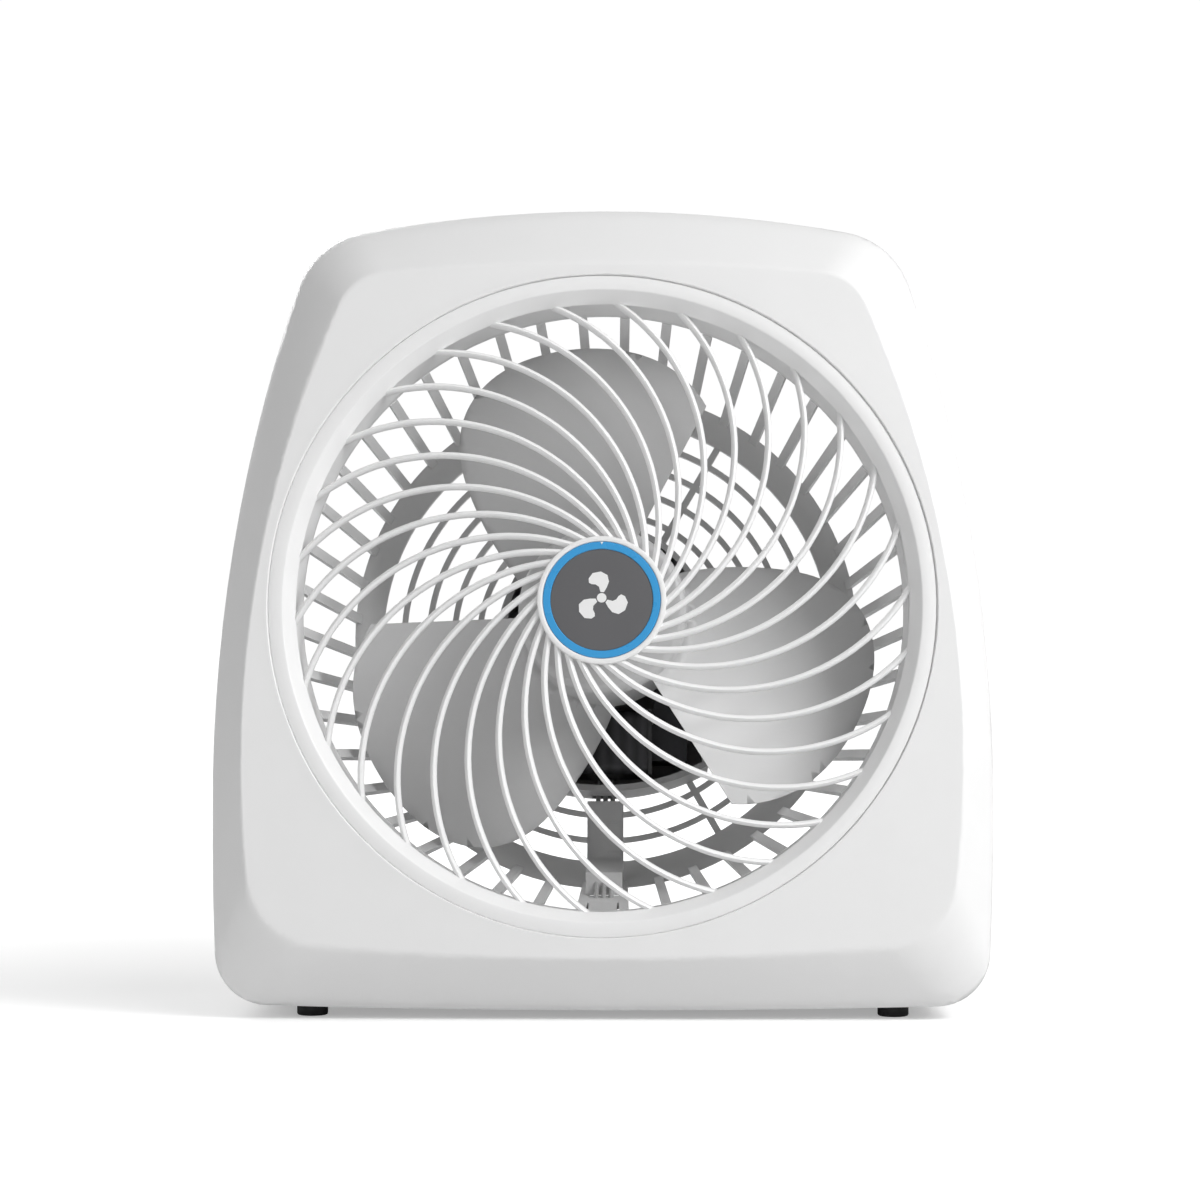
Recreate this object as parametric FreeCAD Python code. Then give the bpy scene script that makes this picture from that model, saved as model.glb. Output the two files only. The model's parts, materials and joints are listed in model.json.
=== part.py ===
import FreeCAD, Part
import math
import os

# A small box fan, in millimetres. Every piece is modelled upright in the fan's own frame: X to
# the right, Y from the front face to the back along the fan's axis, Z up the face, and the
# origin where the axis meets the front face. stand() leans the finished pieces back and lifts
# them over the table. The few pieces on the upright back panel are modelled already standing.

# Driving dimensions
ring_r = 104.7           # outer radius of the front grille
lean = 8.2               # degrees that the face leans back
back_reach = 82.0        # upright back panel, behind the axis point on the front face
wall = 2.5               # housing walls
base_gap = 3.0           # table to housing bottom
below_ring = 25.8        # table to the lowest point of the grille, along the face
axis_height = ring_r + below_ring
split_depth = 40.0       # joint between the two housings

# Clearances
running = 0.03           # radial clearance of a running shaft
pressed = 0.01           # radial clearance left in a press fit
slip = 0.25              # pieces that drop into each other
touch = 0.02             # faces that lie against each other on the back panel

# Front face: a crease, a nearly flat slope and a round shoulder
bevel_depth = 14.0       # front face to the widest outline
bevel_profile = [(0.0, 0.0), (0.06, 0.014), (0.15, 0.09), (0.35, 0.28), (0.6, 0.53), (0.84, 0.77), (1.0, 1.0)]
panel_margin = 3.2       # crease above the top of the grille ring
body_margin = 24.6       # housing above the top of the grille ring
draft = 4.0              # the back is narrower than the front by this on each side

# Front grille and duct
seat_depth = 6.0         # ledge that the front grille sits on
rim_width = 7.7          # grille ring
duct_taper = 1.4
duct_depth = 16.0
duct_r = ring_r - rim_width
duct_end_r = duct_r - duct_taper
hub_r = 20.2             # centre disc of the front grille
hub_front = -5.0
hub_back = -0.5
badge_r = hub_r - 1.8
badge_disc_r = badge_r - 2.4
badge_recess = 1.6
bar_count = 30
bar_r = 0.9              # round section of a grille bar

# Impeller
blade_count = 3
blade_thick = 1.8
blade_pitch = 21.0       # depth gained per radian
blade_camber = 3.0
tip_gap = 6.6            # blade tip to duct
blade_tip_r = duct_end_r - tip_gap
spinner_r = 27.0         # impeller hub
spinner_front = 17.0
spinner_long = 37.0
spinner_back = spinner_front + spinner_long
blade_mid_depth = spinner_front + 18.0

# Shaft and what turns with it
shaft_r = 2.0
boss_r = shaft_r + 4.0   # impeller boss round the shaft
pin_r = 1.0
pin_long = 10.0
pin_depth = spinner_back - 9.0
nut_long = 6.0
nut_cap = 3.2            # closed front of the nut
shaft_front = spinner_front - nut_long - 2.0

# Motor
rotor_r = 12.0
air_gap = 0.35
core_thick = 16.0
yoke = 4.65              # steel between the bore and the coil window
window_half = 16.0
window_high = 15.0
limb = 12.0              # height of the limb that carries the coil
leg = 11.0               # width of the legs beside the window
coil_thick = 4.5
impeller_gap = 2.0       # impeller to motor cradle
core_front = spinner_back + impeller_gap + 6.0
core_back = core_front + core_thick
core_half = window_half + leg
core_top = rotor_r + air_gap + 2.65
window_top = -(rotor_r + air_gap + yoke)
limb_top = window_top - window_high
core_drop = limb - limb_top
motor_screw_x = core_half - 6.0
bracket_thick = 2.0
bracket_gap = 3.0        # spacer between stator and bracket
front_plate = core_front - bracket_gap - bracket_thick
rear_plate = core_back + bracket_gap
bushing_r = shaft_r + 2.5
bushing_long = 7.0
bushing_inset = 0.9      # bushing to stator face
felt_thick = 1.4
front_bush_back = core_front - bushing_inset
rear_bush_front = core_back + bushing_inset

# Cradle round the motor
cradle_wall = 2.0
cradle_front = spinner_back + impeller_gap
cradle_back = core_back + 9.0
cradle_r = math.hypot(core_half, core_top) + 1.1 + cradle_wall
cradle_drop = core_drop + coil_thick + 4.0 + cradle_wall
cradle_screw_x = cradle_r - 8.0
cradle_screw_z = 12.0
rear_bush_back = min(rear_bush_front + bushing_long, cradle_back - cradle_wall - 0.2)
shaft_back = cradle_back - cradle_wall - 0.5

# Rear grille
slat_count = 44
slat_half_wide = 1.5
slat_half_thick = 1.1
flange_depth = 3.0
flange_r = duct_end_r + 7.3
bowl_front_r = duct_end_r + 0.8   # slats at their front and back ends
bowl_back_r = bowl_front_r - 12.9
bowl_depth = cradle_back + 1.0
mid_ring_r = bowl_back_r - 8.1    # inside of the wide back ring
rib_thick = 2.0                   # thin rings, spokes and motor plate
rib_front = bowl_depth - 0.4
rib_back = rib_front + rib_thick
thin_ring_radii = [mid_ring_r - 7.0 - 8.5 * i for i in range(4)]
thin_ring_half = 0.95
slat_front = duct_depth + flange_depth
slat_back = bowl_depth - 5.0
strip_back = 36.0                 # the strip in line with the wire trunking ends before the leads
plate_r = cradle_r + 3.0          # motor plate in the middle
opening_r = ring_r + 0.3          # round opening of the rear housing
opening_rise = 3.0
opening_rim = 2.0

# Screws and posts
screw_r = 1.5
thread_r = 1.3                    # threads are plain, at their core size
screw_head_r = 2.9
screw_head_long = 2.0
post_r = 4.5
housing_posts = [(38.8, ring_r + 19.8), (141.2, ring_r + 19.8), (213.4, ring_r + 22.3), (326.6, ring_r + 22.3)]
post_seat = 5.0                   # thickness under a housing screw's head
grille_screw_r = ring_r + 6.8
grille_screw_angles = [40.0, 140.0, 220.0, 320.0]

# Outlines of the housing, seen from the front
panel = dict(half=ring_r + 7.5, level=60.3 - ring_r, upper_side=345.0, lower_side=320.0,
             top=ring_r + panel_margin, top_arc=800.0, bottom=-ring_r - 5.9, bottom_arc=900.0,
             upper_corner=16.0, lower_corner=24.0)
body = dict(half=ring_r + 18.3, level=50.9 - ring_r, upper_side=515.0, lower_side=940.0,
            top=ring_r + body_margin, top_arc=430.0, bottom=0.0, bottom_arc=4000.0,
            upper_corner=26.0, lower_corner=17.0)
rear = dict(body, half=body["half"] - draft, top=body["top"] - draft + 0.7)
rear_depth = back_reach + 30.0    # where the rear outline is drawn, behind the trimmed back

# Pieces on the base and the back panel
foot_r = 4.9
foot_high = 5.0                   # pad, part of it let into the housing
stem_r = 2.0
foot_boss = 4.5
foot_x = body["half"] - 31.3
foot_inset = 13.2                 # front foot behind the front edge of the base
rear_foot_inset = 10.0
switch_x = body["half"] - 33.0
switch_z = 31.0
switch_half = 11.0
switch_deep = 15.0
neck_r = 4.4
knob_r = 13.0
knob_long = 11.0
spindle_r = 3.0
inlet_z = 31.0
cord_r = 3.0
inlet_neck_r = cord_r + 2.2
terminal_drop = 6.0               # between the switch's terminals
terminal_long = 4.0
panel_inside = back_reach - wall
knob_front = back_reach + 5.8

V = FreeCAD.Vector
sine = math.sin(math.radians(lean))
cosine = math.cos(math.radians(lean))
front_edge_y = cosine * bevel_depth + sine * (base_gap - axis_height + sine * bevel_depth) / cosine
front_foot_y = front_edge_y + foot_inset
rear_foot_y = back_reach - rear_foot_inset


# Frames

def stand(shape):
    """Lean a piece back and lift it to its height over the table."""
    placed = shape.copy()
    placed.rotate(V(0, 0, 0), V(1, 0, 0), -lean)
    placed.translate(V(0, 0, axis_height))
    return placed


def standing_point(x, y, z):
    return V(x, cosine * y + sine * z, axis_height - sine * y + cosine * z)


def floor_line(depth, rise=0.0):
    """Height in the fan's frame of a level plane that lies rise above the housing bottom."""
    return (base_gap + rise - axis_height + sine * depth) / cosine


# Small makers: everything round turns about an axis along Y

def disc(r, front, back, x=0.0, z=0.0):
    return Part.makeCylinder(r, back - front, V(x, front, z), V(0, 1, 0))


def tube(r, hole, front, back, x=0.0, z=0.0):
    return disc(r, front, back, x, z).cut(disc(hole, front, back, x, z))


def block(x0, x1, y0, y1, z0, z1):
    return Part.makeBox(x1 - x0, y1 - y0, z1 - z0, V(x0, y0, z0))


def revolved(profile):
    """Turn a closed list of (radius, depth) points about the fan's axis."""
    points = [V(r, y, 0) for r, y in profile]
    face = Part.Face(Part.makePolygon(points + [points[0]]))
    return face.revolve(V(0, 0, 0), V(0, 1, 0), 360)


def spun(shape, degrees):
    """Turn a piece about the fan's axis, anticlockwise as seen from the front."""
    turned = shape.copy()
    turned.rotate(V(0, 0, 0), V(0, -1, 0), degrees)
    return turned


def around(shape, count):
    return [spun(shape, 360.0 * i / count) for i in range(count)]


def joined(shapes):
    return shapes[0].multiFuse(shapes[1:]).removeSplitter()


def polar(r, degrees, y=0.0):
    angle = math.radians(degrees)
    return V(r * math.cos(angle), y, r * math.sin(angle))


def side_prism(points, half):
    """A plate drawn in depth and height, as wide as twice half."""
    corners = [V(-half, y, z) for y, z in points]
    return Part.Face(Part.makePolygon(corners + [corners[0]])).extrude(V(2 * half, 0, 0))


# Housing outline

def mixed(a, b, share):
    return {key: a[key] + (b[key] - a[key]) * share for key in a}


def inset(shape, t):
    smaller = {key: shape[key] - t for key in shape}
    smaller.update(level=shape["level"], bottom=shape["bottom"] + t)
    return smaller


def arc_centre(c1, r1, c2, r2, up):
    """Centre of a corner arc: r1 and r2 away from the centres of its two neighbours."""
    dx = c2[0] - c1[0]
    dz = c2[1] - c1[1]
    apart = math.hypot(dx, dz)
    along = (r1 * r1 - r2 * r2 + apart * apart) / (2 * apart)
    off = math.sqrt(r1 * r1 - along * along)
    found = []
    for side in (1, -1):
        x = c1[0] + (along * dx - side * off * dz) / apart
        z = c1[1] + (along * dz + side * off * dx) / apart
        found.append((x, z))
    return max(found, key=lambda p: p[0] + up * p[1])


def on_arc(centre, radius, through):
    dx = through[0] - centre[0]
    dz = through[1] - centre[1]
    scale = radius / math.hypot(dx, dz)
    return (centre[0] + dx * scale, centre[1] + dz * scale)


def outline(shape, depth):
    """Closed wire of ten arcs at the given depth."""
    top_c = (0.0, shape["top"] - shape["top_arc"])
    bottom_c = (0.0, shape["bottom"] + shape["bottom_arc"])
    upper_c = (shape["half"] - shape["upper_side"], shape["level"])
    lower_c = (shape["half"] - shape["lower_side"], shape["level"])
    ru = shape["upper_corner"]
    rl = shape["lower_corner"]
    uc = arc_centre(top_c, shape["top_arc"] - ru, upper_c, shape["upper_side"] - ru, 1)
    lc = arc_centre(bottom_c, shape["bottom_arc"] - rl, lower_c, shape["lower_side"] - rl, -1)
    a = on_arc(top_c, shape["top_arc"], uc)
    b = on_arc(upper_c, shape["upper_side"], uc)
    c = (shape["half"], shape["level"])
    d = on_arc(lower_c, shape["lower_side"], lc)
    e = on_arc(bottom_c, shape["bottom_arc"], lc)

    def middle(centre, radius, p, q):
        return on_arc(centre, radius, ((p[0] + q[0]) / 2, (p[1] + q[1]) / 2))

    right = [
        (a, middle(uc, ru, a, b), b),
        (b, middle(upper_c, shape["upper_side"], b, c), c),
        (c, middle(lower_c, shape["lower_side"], c, d), d),
        (d, middle(lc, rl, d, e), e),
    ]
    left = [tuple((-x, z) for x, z in reversed(arc)) for arc in reversed(right)]
    top = ((-a[0], a[1]), (0.0, shape["top"]), a)
    bottom = (e, (0.0, shape["bottom"]), (-e[0], e[1]))
    edges = []
    for arc in [top] + right + [bottom] + left:
        ends = [V(x, depth, z) for x, z in arc]
        edges.append(Part.Arc(*ends).toShape())
    return Part.Wire(edges)


def on_base(shape, depth):
    """The outline with its bottom on the level base."""
    return dict(shape, bottom=floor_line(depth))


def outer_form():
    """The whole housing as one solid block, before hollowing."""
    widest = on_base(body, bevel_depth)
    sections = []
    for width_share, depth_share in bevel_profile:
        sections.append(outline(mixed(panel, widest, width_share), bevel_depth * depth_share))
    bevel = Part.makeLoft(sections, True, False)
    sides = Part.makeLoft([sections[-1], outline(on_base(rear, rear_depth), rear_depth)], True, True)
    return joined([bevel, sides])


def inner_form():
    widest = on_base(body, bevel_depth)
    front = outline(inset(panel, wall), wall)
    middle = outline(inset(widest, wall), bevel_depth)
    back = outline(inset(on_base(rear, rear_depth), wall), rear_depth)
    return joined([Part.makeLoft([front, middle], True, True), Part.makeLoft([middle, back], True, True)])


def behind_plane(reach):
    """Everything behind an upright plane, in the fan's frame."""
    slab = block(-200, 200, reach, reach + 200, -250, 250)
    slab.rotate(V(0, 0, 0), V(1, 0, 0), lean)
    return slab


def panel_depth(z, reach):
    """Depth in the fan's frame of an upright plane, at a height on the face."""
    return (reach - sine * z) / cosine


# Housing

def foot_place(x, y):
    """Pocket, stem hole and inner boss for one foot, already standing."""
    pocket = Part.makeCylinder(foot_r + slip, foot_high, V(x, y, 0))
    hole = Part.makeCylinder(stem_r + slip / 4, 20.0, V(x, y, 0))
    boss = Part.makeCylinder(foot_r + wall, foot_boss, V(x, y, base_gap + 1.2))
    return pocket, hole, boss


def lying(shape):
    """Bring a standing piece into the fan's frame, the inverse of stand()."""
    moved = shape.copy()
    moved.translate(V(0, 0, -axis_height))
    moved.rotate(V(0, 0, 0), V(1, 0, 0), lean)
    return moved


def with_feet(shell, y):
    for x in (-foot_x, foot_x):
        pocket, hole, boss = [lying(s) for s in foot_place(x, y)]
        shell = shell.fuse(boss).cut(pocket).cut(hole)
    return shell


def grille_post(angle):
    spot = polar(grille_screw_r, angle)
    post = disc(post_r, wall - 0.5, duct_depth, spot.x, spot.z)
    return post, disc(thread_r, wall + 3.0, duct_depth, spot.x, spot.z)


def make_front_housing(outer, inner):
    shell = outer.cut(inner).common(block(-200, 200, -5, split_depth, -200, 200))
    collar_r = ring_r + 2.8
    lip = 0.35
    shell = shell.cut(disc(ring_r + 1.0, -1, seat_depth))
    collar = revolved([
        (collar_r, 0.3), (collar_r, duct_depth), (duct_end_r, duct_depth), (duct_r, seat_depth),
        (ring_r + slip, seat_depth), (ring_r + slip, 0.0), (ring_r + 0.7, -lip),
        (ring_r + 1.7, -lip), (ring_r + 2.4, 0.0), (collar_r, 0.0),
    ])
    parts = [shell, collar]
    holes = []
    for angle in grille_screw_angles:
        post, hole = grille_post(angle)
        parts.append(post)
        holes.append(hole)
    for angle, r in housing_posts:
        spot = polar(r, angle)
        parts.append(disc(post_r, wall, split_depth, spot.x, spot.z).common(outer))
        holes.append(disc(thread_r, split_depth - 14.0, split_depth, spot.x, spot.z))
    shell = joined(parts)
    for hole in holes:
        shell = shell.cut(hole)
    return with_feet(shell, front_foot_y)


def make_rear_housing(outer, inner):
    cavity = inner.cut(behind_plane(panel_inside))
    shell = outer.cut(cavity).cut(behind_plane(back_reach))
    shell = shell.common(block(-200, 200, split_depth, 200, -200, 200))
    shell = shell.cut(disc(opening_r, 0, 200, 0, opening_rise))
    collar = tube(opening_r + opening_rim, opening_r, split_depth, back_reach + 50, 0, opening_rise)
    parts = [shell, collar.cut(behind_plane(back_reach))]
    holes = []
    for angle, r in housing_posts:
        spot = polar(r, angle)
        end = panel_depth(spot.z, back_reach) + 6.0
        parts.append(disc(post_r, split_depth, end, spot.x, spot.z).cut(behind_plane(back_reach)))
        holes.append(disc(screw_head_r + slip, split_depth + post_seat, end, spot.x, spot.z))
        holes.append(disc(screw_r + slip, split_depth - 1.0, split_depth + post_seat, spot.x, spot.z))
    for angle in (-60.0, -30.0, 0.0, 30.0, 60.0, 120.0, 150.0, 180.0, 210.0, 240.0):
        rib = block(opening_r + 1.0, opening_r + 9.0, split_depth, split_depth + 18.0, -0.8, 0.8)
        rib = spun(rib, angle)
        rib.translate(V(0, 0, opening_rise))
        parts.append(rib.common(inner))
    shell = joined(parts)
    for hole in holes:
        shell = shell.cut(hole)
    neck = lying(disc(neck_r + slip, back_reach - 10, back_reach + 5, switch_x, switch_z))
    inlet = lying(disc(inlet_neck_r + touch * 4, back_reach - 10, back_reach + 5, -switch_x, inlet_z))
    return with_feet(shell.cut(neck).cut(inlet), rear_foot_y)


# Front grille and badge

badge_floor = hub_front + badge_recess


def make_grille_rim():
    """Outer ring of the front grille: a flat band and a cone down to the duct."""
    band_r = duct_r + 3.4     # where the flat ring turns into the cone
    return revolved([
        (ring_r, 0.4), (ring_r, seat_depth), (duct_r - 0.4, seat_depth), (duct_r - 0.4, seat_depth - 0.8),
        (band_r, 0.2), (ring_r - 0.6, 0.2),
    ])


def make_grille_hub():
    return revolved([
        (0, badge_floor), (badge_r + 0.1, badge_floor), (badge_r + 0.1, hub_front + 0.3),
        (badge_r + 0.5, hub_front), (hub_r - 0.4, hub_front), (hub_r, hub_front + 0.4),
        (hub_r, hub_back), (0, hub_back),
    ])


def make_grille_bars(rim):
    """Round bars in one spiral sweep, each cut off at the hub and at the rim."""
    inner = polar(hub_r - 0.8, -3.4, -2.6)
    middle = polar((hub_r + duct_r) / 2, 45.2, 0.6)
    outer = polar(duct_r + 1.4, 76.5, seat_depth - 1.6)
    path = Part.Arc(inner, middle, outer).toShape()
    start = path.tangentAt(path.FirstParameter)
    section = Part.Wire(Part.Circle(inner, start, bar_r).toShape())
    bar = Part.Wire(path).makePipeShell([section], True, False)
    bar = bar.cut(disc(hub_r, -20, 20)).cut(rim)
    bar = max(bar.Solids, key=lambda piece: piece.Volume)
    return Part.makeCompound(around(bar, bar_count))


def make_badge_ring():
    return tube(badge_r, badge_disc_r + 0.05, hub_front + 0.1, badge_floor)


def make_badge_disc():
    plate = disc(badge_disc_r, hub_front + 0.3, badge_floor)
    mark = block(-0.7, 0.7, hub_front, hub_front + 0.6, badge_disc_r - 2.6, badge_disc_r - 1.2)
    return plate.cut(mark)


# Rear grille

def make_rear_flange():
    """Ring behind the duct, with an ear at each grille screw."""
    parts = [tube(flange_r, duct_end_r, duct_depth, slat_front)]
    holes = []
    for angle in grille_screw_angles:
        spot = polar(grille_screw_r, angle)
        ear = disc(4.6, duct_depth, slat_front, spot.x, spot.z)
        neck = block(flange_r - 2.5, grille_screw_r, duct_depth, slat_front, -4.6, 4.6)
        parts += [ear, spun(neck, angle)]
        holes.append(disc(screw_r + slip, duct_depth - 1, slat_front + 1, spot.x, spot.z))
    flange = joined(parts)
    for hole in holes:
        flange = flange.cut(hole)
    return flange


def make_rear_slats():
    """Straight slats from the flange back to the wide ring, and the wide strip below the leads."""
    points = [
        (slat_front, bowl_front_r - slat_half_thick), (slat_back, bowl_back_r - slat_half_thick),
        (slat_back, bowl_back_r + slat_half_thick), (slat_front, bowl_front_r + slat_half_thick),
    ]
    slat = side_prism(points, slat_half_wide)
    slats = [spun(piece, 180.0 / slat_count) for piece in around(slat, slat_count)]
    strip_half = math.pi * bowl_front_r / slat_count - slat_half_wide - 0.9
    strip = side_prism(points, strip_half).common(disc(200, slat_front, strip_back))
    return Part.makeCompound(slats + [strip.rotated(V(0, 0, 0), V(0, 1, 0), 180)])


def make_rear_band():
    """Wide ring at the back end of the slats."""
    return revolved([
        (bowl_back_r + slat_half_thick, slat_back), (bowl_back_r + slat_half_thick, bowl_depth - 2.5),
        (bowl_back_r - 1.5, bowl_depth), (mid_ring_r, rib_back + 0.4), (mid_ring_r, rib_front - 0.4),
        (bowl_back_r - 3.5, slat_back + 1.0), (bowl_back_r - slat_half_thick, slat_back),
    ])


def make_rear_rings():
    """Flat middle of the rear grille: thin rings, spokes and the plate that carries the motor."""
    parts = [tube(r + thin_ring_half, r - thin_ring_half, rib_front, rib_back) for r in thin_ring_radii]
    plate = disc(plate_r, cradle_back, rib_back)
    for x in (-10.5, -3.5, 3.5, 10.5):
        slot = block(x - 1.6, x + 1.6, cradle_back - 1, rib_back + 1, -26.0, -6.0)
        plate = plate.cut(slot).cut(spun(slot, 180))
    parts.append(plate)
    spoke = block(plate_r - 2.0, mid_ring_r + 1.0, rib_front, rib_back, -1.1, 1.1)
    parts += around(spoke, 6)
    rings = joined(parts).common(disc(mid_ring_r - touch, 0, rib_back + 1))
    for x in (-cradle_screw_x, cradle_screw_x):
        rings = rings.cut(disc(screw_r + slip, cradle_back - 1, rib_back + 1, x, cradle_screw_z))
    return rings


def channel_point(depth):
    """A point on the channel's floor, just inside the slats."""
    along = (depth - slat_front) / (slat_back - slat_front)
    slat_inside = bowl_front_r - slat_half_thick - along * (bowl_front_r - bowl_back_r)
    return (depth, channel_lift + channel_floor - slat_inside)


channel_half = 6.0
channel_floor = 1.6
channel_roof = 1.0
channel_deep = 4.0       # height inside
channel_side = channel_deep + channel_roof
channel_lift = 0.5       # channel to the slats
channel_bend = channel_point(slat_back - channel_floor - 0.1)    # where it turns forwards
channel_end = channel_point(spinner_back - 2.0)                  # behind the blades


def make_wire_channel():
    """Closed trunking for the motor leads, open at both ends, in front of the rear rings and slats."""
    bend_y, bend_z = channel_bend
    end_y, end_z = channel_end
    top = -cradle_drop - 1.5

    def run(lower, upper, beyond):
        """Section along the trunking, from the floor's inside less lower to the roof's inside plus upper."""
        low_y, high_y = bend_y + lower, bend_y - channel_deep - upper
        return [
            (low_y, top + beyond), (low_y, bend_z - lower), (end_y - beyond, end_z - lower),
            (end_y - beyond, end_z + channel_deep + upper), (high_y, bend_z + channel_deep + upper),
            (high_y, top + beyond),
        ]

    outside = side_prism(run(channel_floor, channel_roof, 0.0), channel_half)
    inside = side_prism(run(0.0, 0.0, 1.0), channel_half - channel_roof)
    trunk = outside.cut(inside)
    for drop in (7.0, 17.0):
        z = top - drop
        notch = block(1.0, channel_half - 1.6, bend_y - channel_side - 1, bend_y - channel_deep + 1, z - 0.5, z + 0.5)
        trunk = trunk.cut(notch)
    return trunk


# Motor

def cradle_outline(t):
    """Round over the rotor, straight down the sides, a flat arc under the coil."""
    r = cradle_r - t
    low = -cradle_drop + t
    side_low = -core_drop - 2.0 + t * 0.6
    return Part.Wire([
        Part.Arc(V(-r, 0, 0), V(0, 0, r), V(r, 0, 0)).toShape(),
        Part.LineSegment(V(r, 0, 0), V(r, 0, side_low)).toShape(),
        Part.Arc(V(r, 0, side_low), V(0, 0, low), V(-r, 0, side_low)).toShape(),
        Part.LineSegment(V(-r, 0, side_low), V(-r, 0, 0)).toShape(),
    ])


def make_motor_cradle():
    outer = Part.Face(cradle_outline(0.0)).extrude(V(0, cradle_back - cradle_front, 0))
    outer.translate(V(0, cradle_front, 0))
    hollow = Part.Face(cradle_outline(cradle_wall)).extrude(V(0, cradle_back - cradle_front, 0))
    hollow.translate(V(0, cradle_front - cradle_wall, 0))
    cup = outer.cut(hollow)
    parts = [cup]
    for x in (-motor_screw_x, motor_screw_x):
        parts.append(disc(4.0, rear_plate + bracket_thick, cradle_back, x))
    cup = joined(parts)
    for x in (-motor_screw_x, motor_screw_x):
        cup = cup.cut(disc(screw_r, rear_plate, cradle_back, x))
    for x in (-cradle_screw_x, cradle_screw_x):
        cup = cup.cut(disc(thread_r, cradle_back - 3, cradle_back + 1, x, cradle_screw_z))
    for z in (-38.0, -32.0, 24.0, 18.0):
        cup = cup.cut(block(-9.0, 9.0, cradle_back - 4, cradle_back + 1, z - 1.2, z + 1.2))
    exit_front = core_back - 4.0
    return cup.cut(block(-4.4, 4.4, exit_front, cradle_back - 3.5, -cradle_drop - 2, 5.0 - cradle_drop))


def make_stator_core():
    core = block(-core_half, core_half, core_front, core_back, -core_drop, core_top)
    window = block(-window_half, window_half, core_front, core_back, -core_drop, window_top)
    core = core.cut(window).cut(disc(rotor_r + air_gap, core_front, core_back))
    for x in (-motor_screw_x, motor_screw_x):
        core = core.cut(disc(screw_r + 0.1, core_front, core_back, x))
    return core


def make_core_bar():
    return block(-window_half, window_half, core_front, core_back, -core_drop, limb_top)


def make_coil_bobbin():
    inner = block(-window_half, window_half, core_front, core_back, -core_drop, limb_top)
    sleeve = block(-window_half + 0.5, window_half - 0.5, core_front - 1, core_back + 1,
                   -core_drop - 1, limb_top + 1)
    parts = [sleeve]
    grow = coil_thick + 0.2
    for x in (-window_half + 0.5, window_half - 1.7):
        parts.append(block(x, x + 1.2, core_front - grow, core_back + grow,
                           -core_drop - grow, limb_top + grow))
    return joined(parts).cut(inner)


def make_stator_coil():
    half = window_half - 1.8
    outer = block(-half, half, core_front - coil_thick, core_back + coil_thick,
                  -core_drop - coil_thick, limb_top + coil_thick)
    edges = [e for e in outer.Edges if abs(e.BoundBox.XLength - 2 * half) < 0.01]
    outer = outer.makeFillet(3.0, edges)
    inner = block(-half, half, core_front - 1.02, core_back + 1.02, -core_drop - 1.02, limb_top + 1.02)
    return outer.cut(inner)


def make_shading_rings():
    """Copper loops let into the pole faces, one each side of the rotor."""
    loops = []
    for side in (-1, 1):
        x = side * (rotor_r + air_gap + 2.2)
        outer = block(x - 1.6, x + 1.6, core_front - 0.9, core_back + 0.9, side * 5.0 - 2.4, side * 5.0 + 2.4)
        inner = block(x - 2.0, x + 2.0, core_front, core_back, side * 5.0 - 3.0, side * 5.0 + 3.0)
        loops.append(outer.cut(inner))
    return Part.makeCompound([s for loop in loops for s in loop.Solids])


def make_bracket(plate, boss_front, boss_back, spacer_front, spacer_back):
    ends = [disc(6.0, plate, plate + bracket_thick, x) for x in (-motor_screw_x, motor_screw_x)]
    arm = block(-motor_screw_x, motor_screw_x, plate, plate + bracket_thick, -6.0, 6.0)
    spacers = [disc(3.4, spacer_front, spacer_back, x) for x in (-motor_screw_x, motor_screw_x)]
    boss = disc(bushing_r + 2.5, boss_front, boss_back)
    bracket = joined([arm, boss] + ends + spacers).cut(disc(bushing_r, boss_front - 1, boss_back + 1))
    for x in (-motor_screw_x, motor_screw_x):
        bracket = bracket.cut(disc(screw_r + 0.1, plate - 5, plate + 10, x))
    return bracket


def make_front_bracket():
    return make_bracket(front_plate, front_bush_back - bushing_long, front_bush_back,
                        front_plate + bracket_thick, core_front)


def make_rear_bracket():
    return make_bracket(rear_plate, rear_bush_front, rear_bush_back, core_back, rear_plate)


def make_front_bushing():
    front = front_bush_back - bushing_long + felt_thick + 0.2
    return tube(bushing_r, shaft_r + running, front, front_bush_back)


def make_rear_bushing():
    return tube(bushing_r, shaft_r + running, rear_bush_front, rear_bush_back)


def make_oil_felt():
    front = front_bush_back - bushing_long
    return tube(bushing_r, shaft_r + slip, front + 0.2, front + 0.2 + felt_thick)


def make_thrust_washers():
    front = tube(bushing_r - 0.7, shaft_r + running, core_front - 0.7, core_front - 0.2)
    back = tube(bushing_r - 0.7, shaft_r + running, core_back + 0.2, core_back + 0.7)
    return Part.makeCompound([front, back])


def make_rotor():
    return tube(rotor_r, shaft_r + pressed, core_front, core_back)


def make_shaft():
    shaft = disc(shaft_r, shaft_front, shaft_back)
    return shaft.cut(Part.makeCylinder(pin_r, 20, V(-10, pin_depth, 0), V(1, 0, 0)))


def make_cross_pin():
    return Part.makeCylinder(pin_r, pin_long, V(-pin_long / 2, pin_depth, 0), V(1, 0, 0))


def make_motor_screws():
    screws = []
    for x in (-motor_screw_x, motor_screw_x):
        head = disc(screw_head_r, front_plate - screw_head_long, front_plate, x)
        screws.append(head.fuse(disc(screw_r, front_plate, cradle_back - 0.5, x)).removeSplitter())
    return Part.makeCompound(screws)


def make_cradle_screws():
    screws = []
    for x in (-cradle_screw_x, cradle_screw_x):
        head = disc(screw_head_r, rib_back, rib_back + screw_head_long, x, cradle_screw_z)
        shank = disc(thread_r, cradle_back - 1.8, rib_back, x, cradle_screw_z)
        screws.append(head.fuse(shank).removeSplitter())
    return Part.makeCompound(screws)


# Impeller

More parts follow.
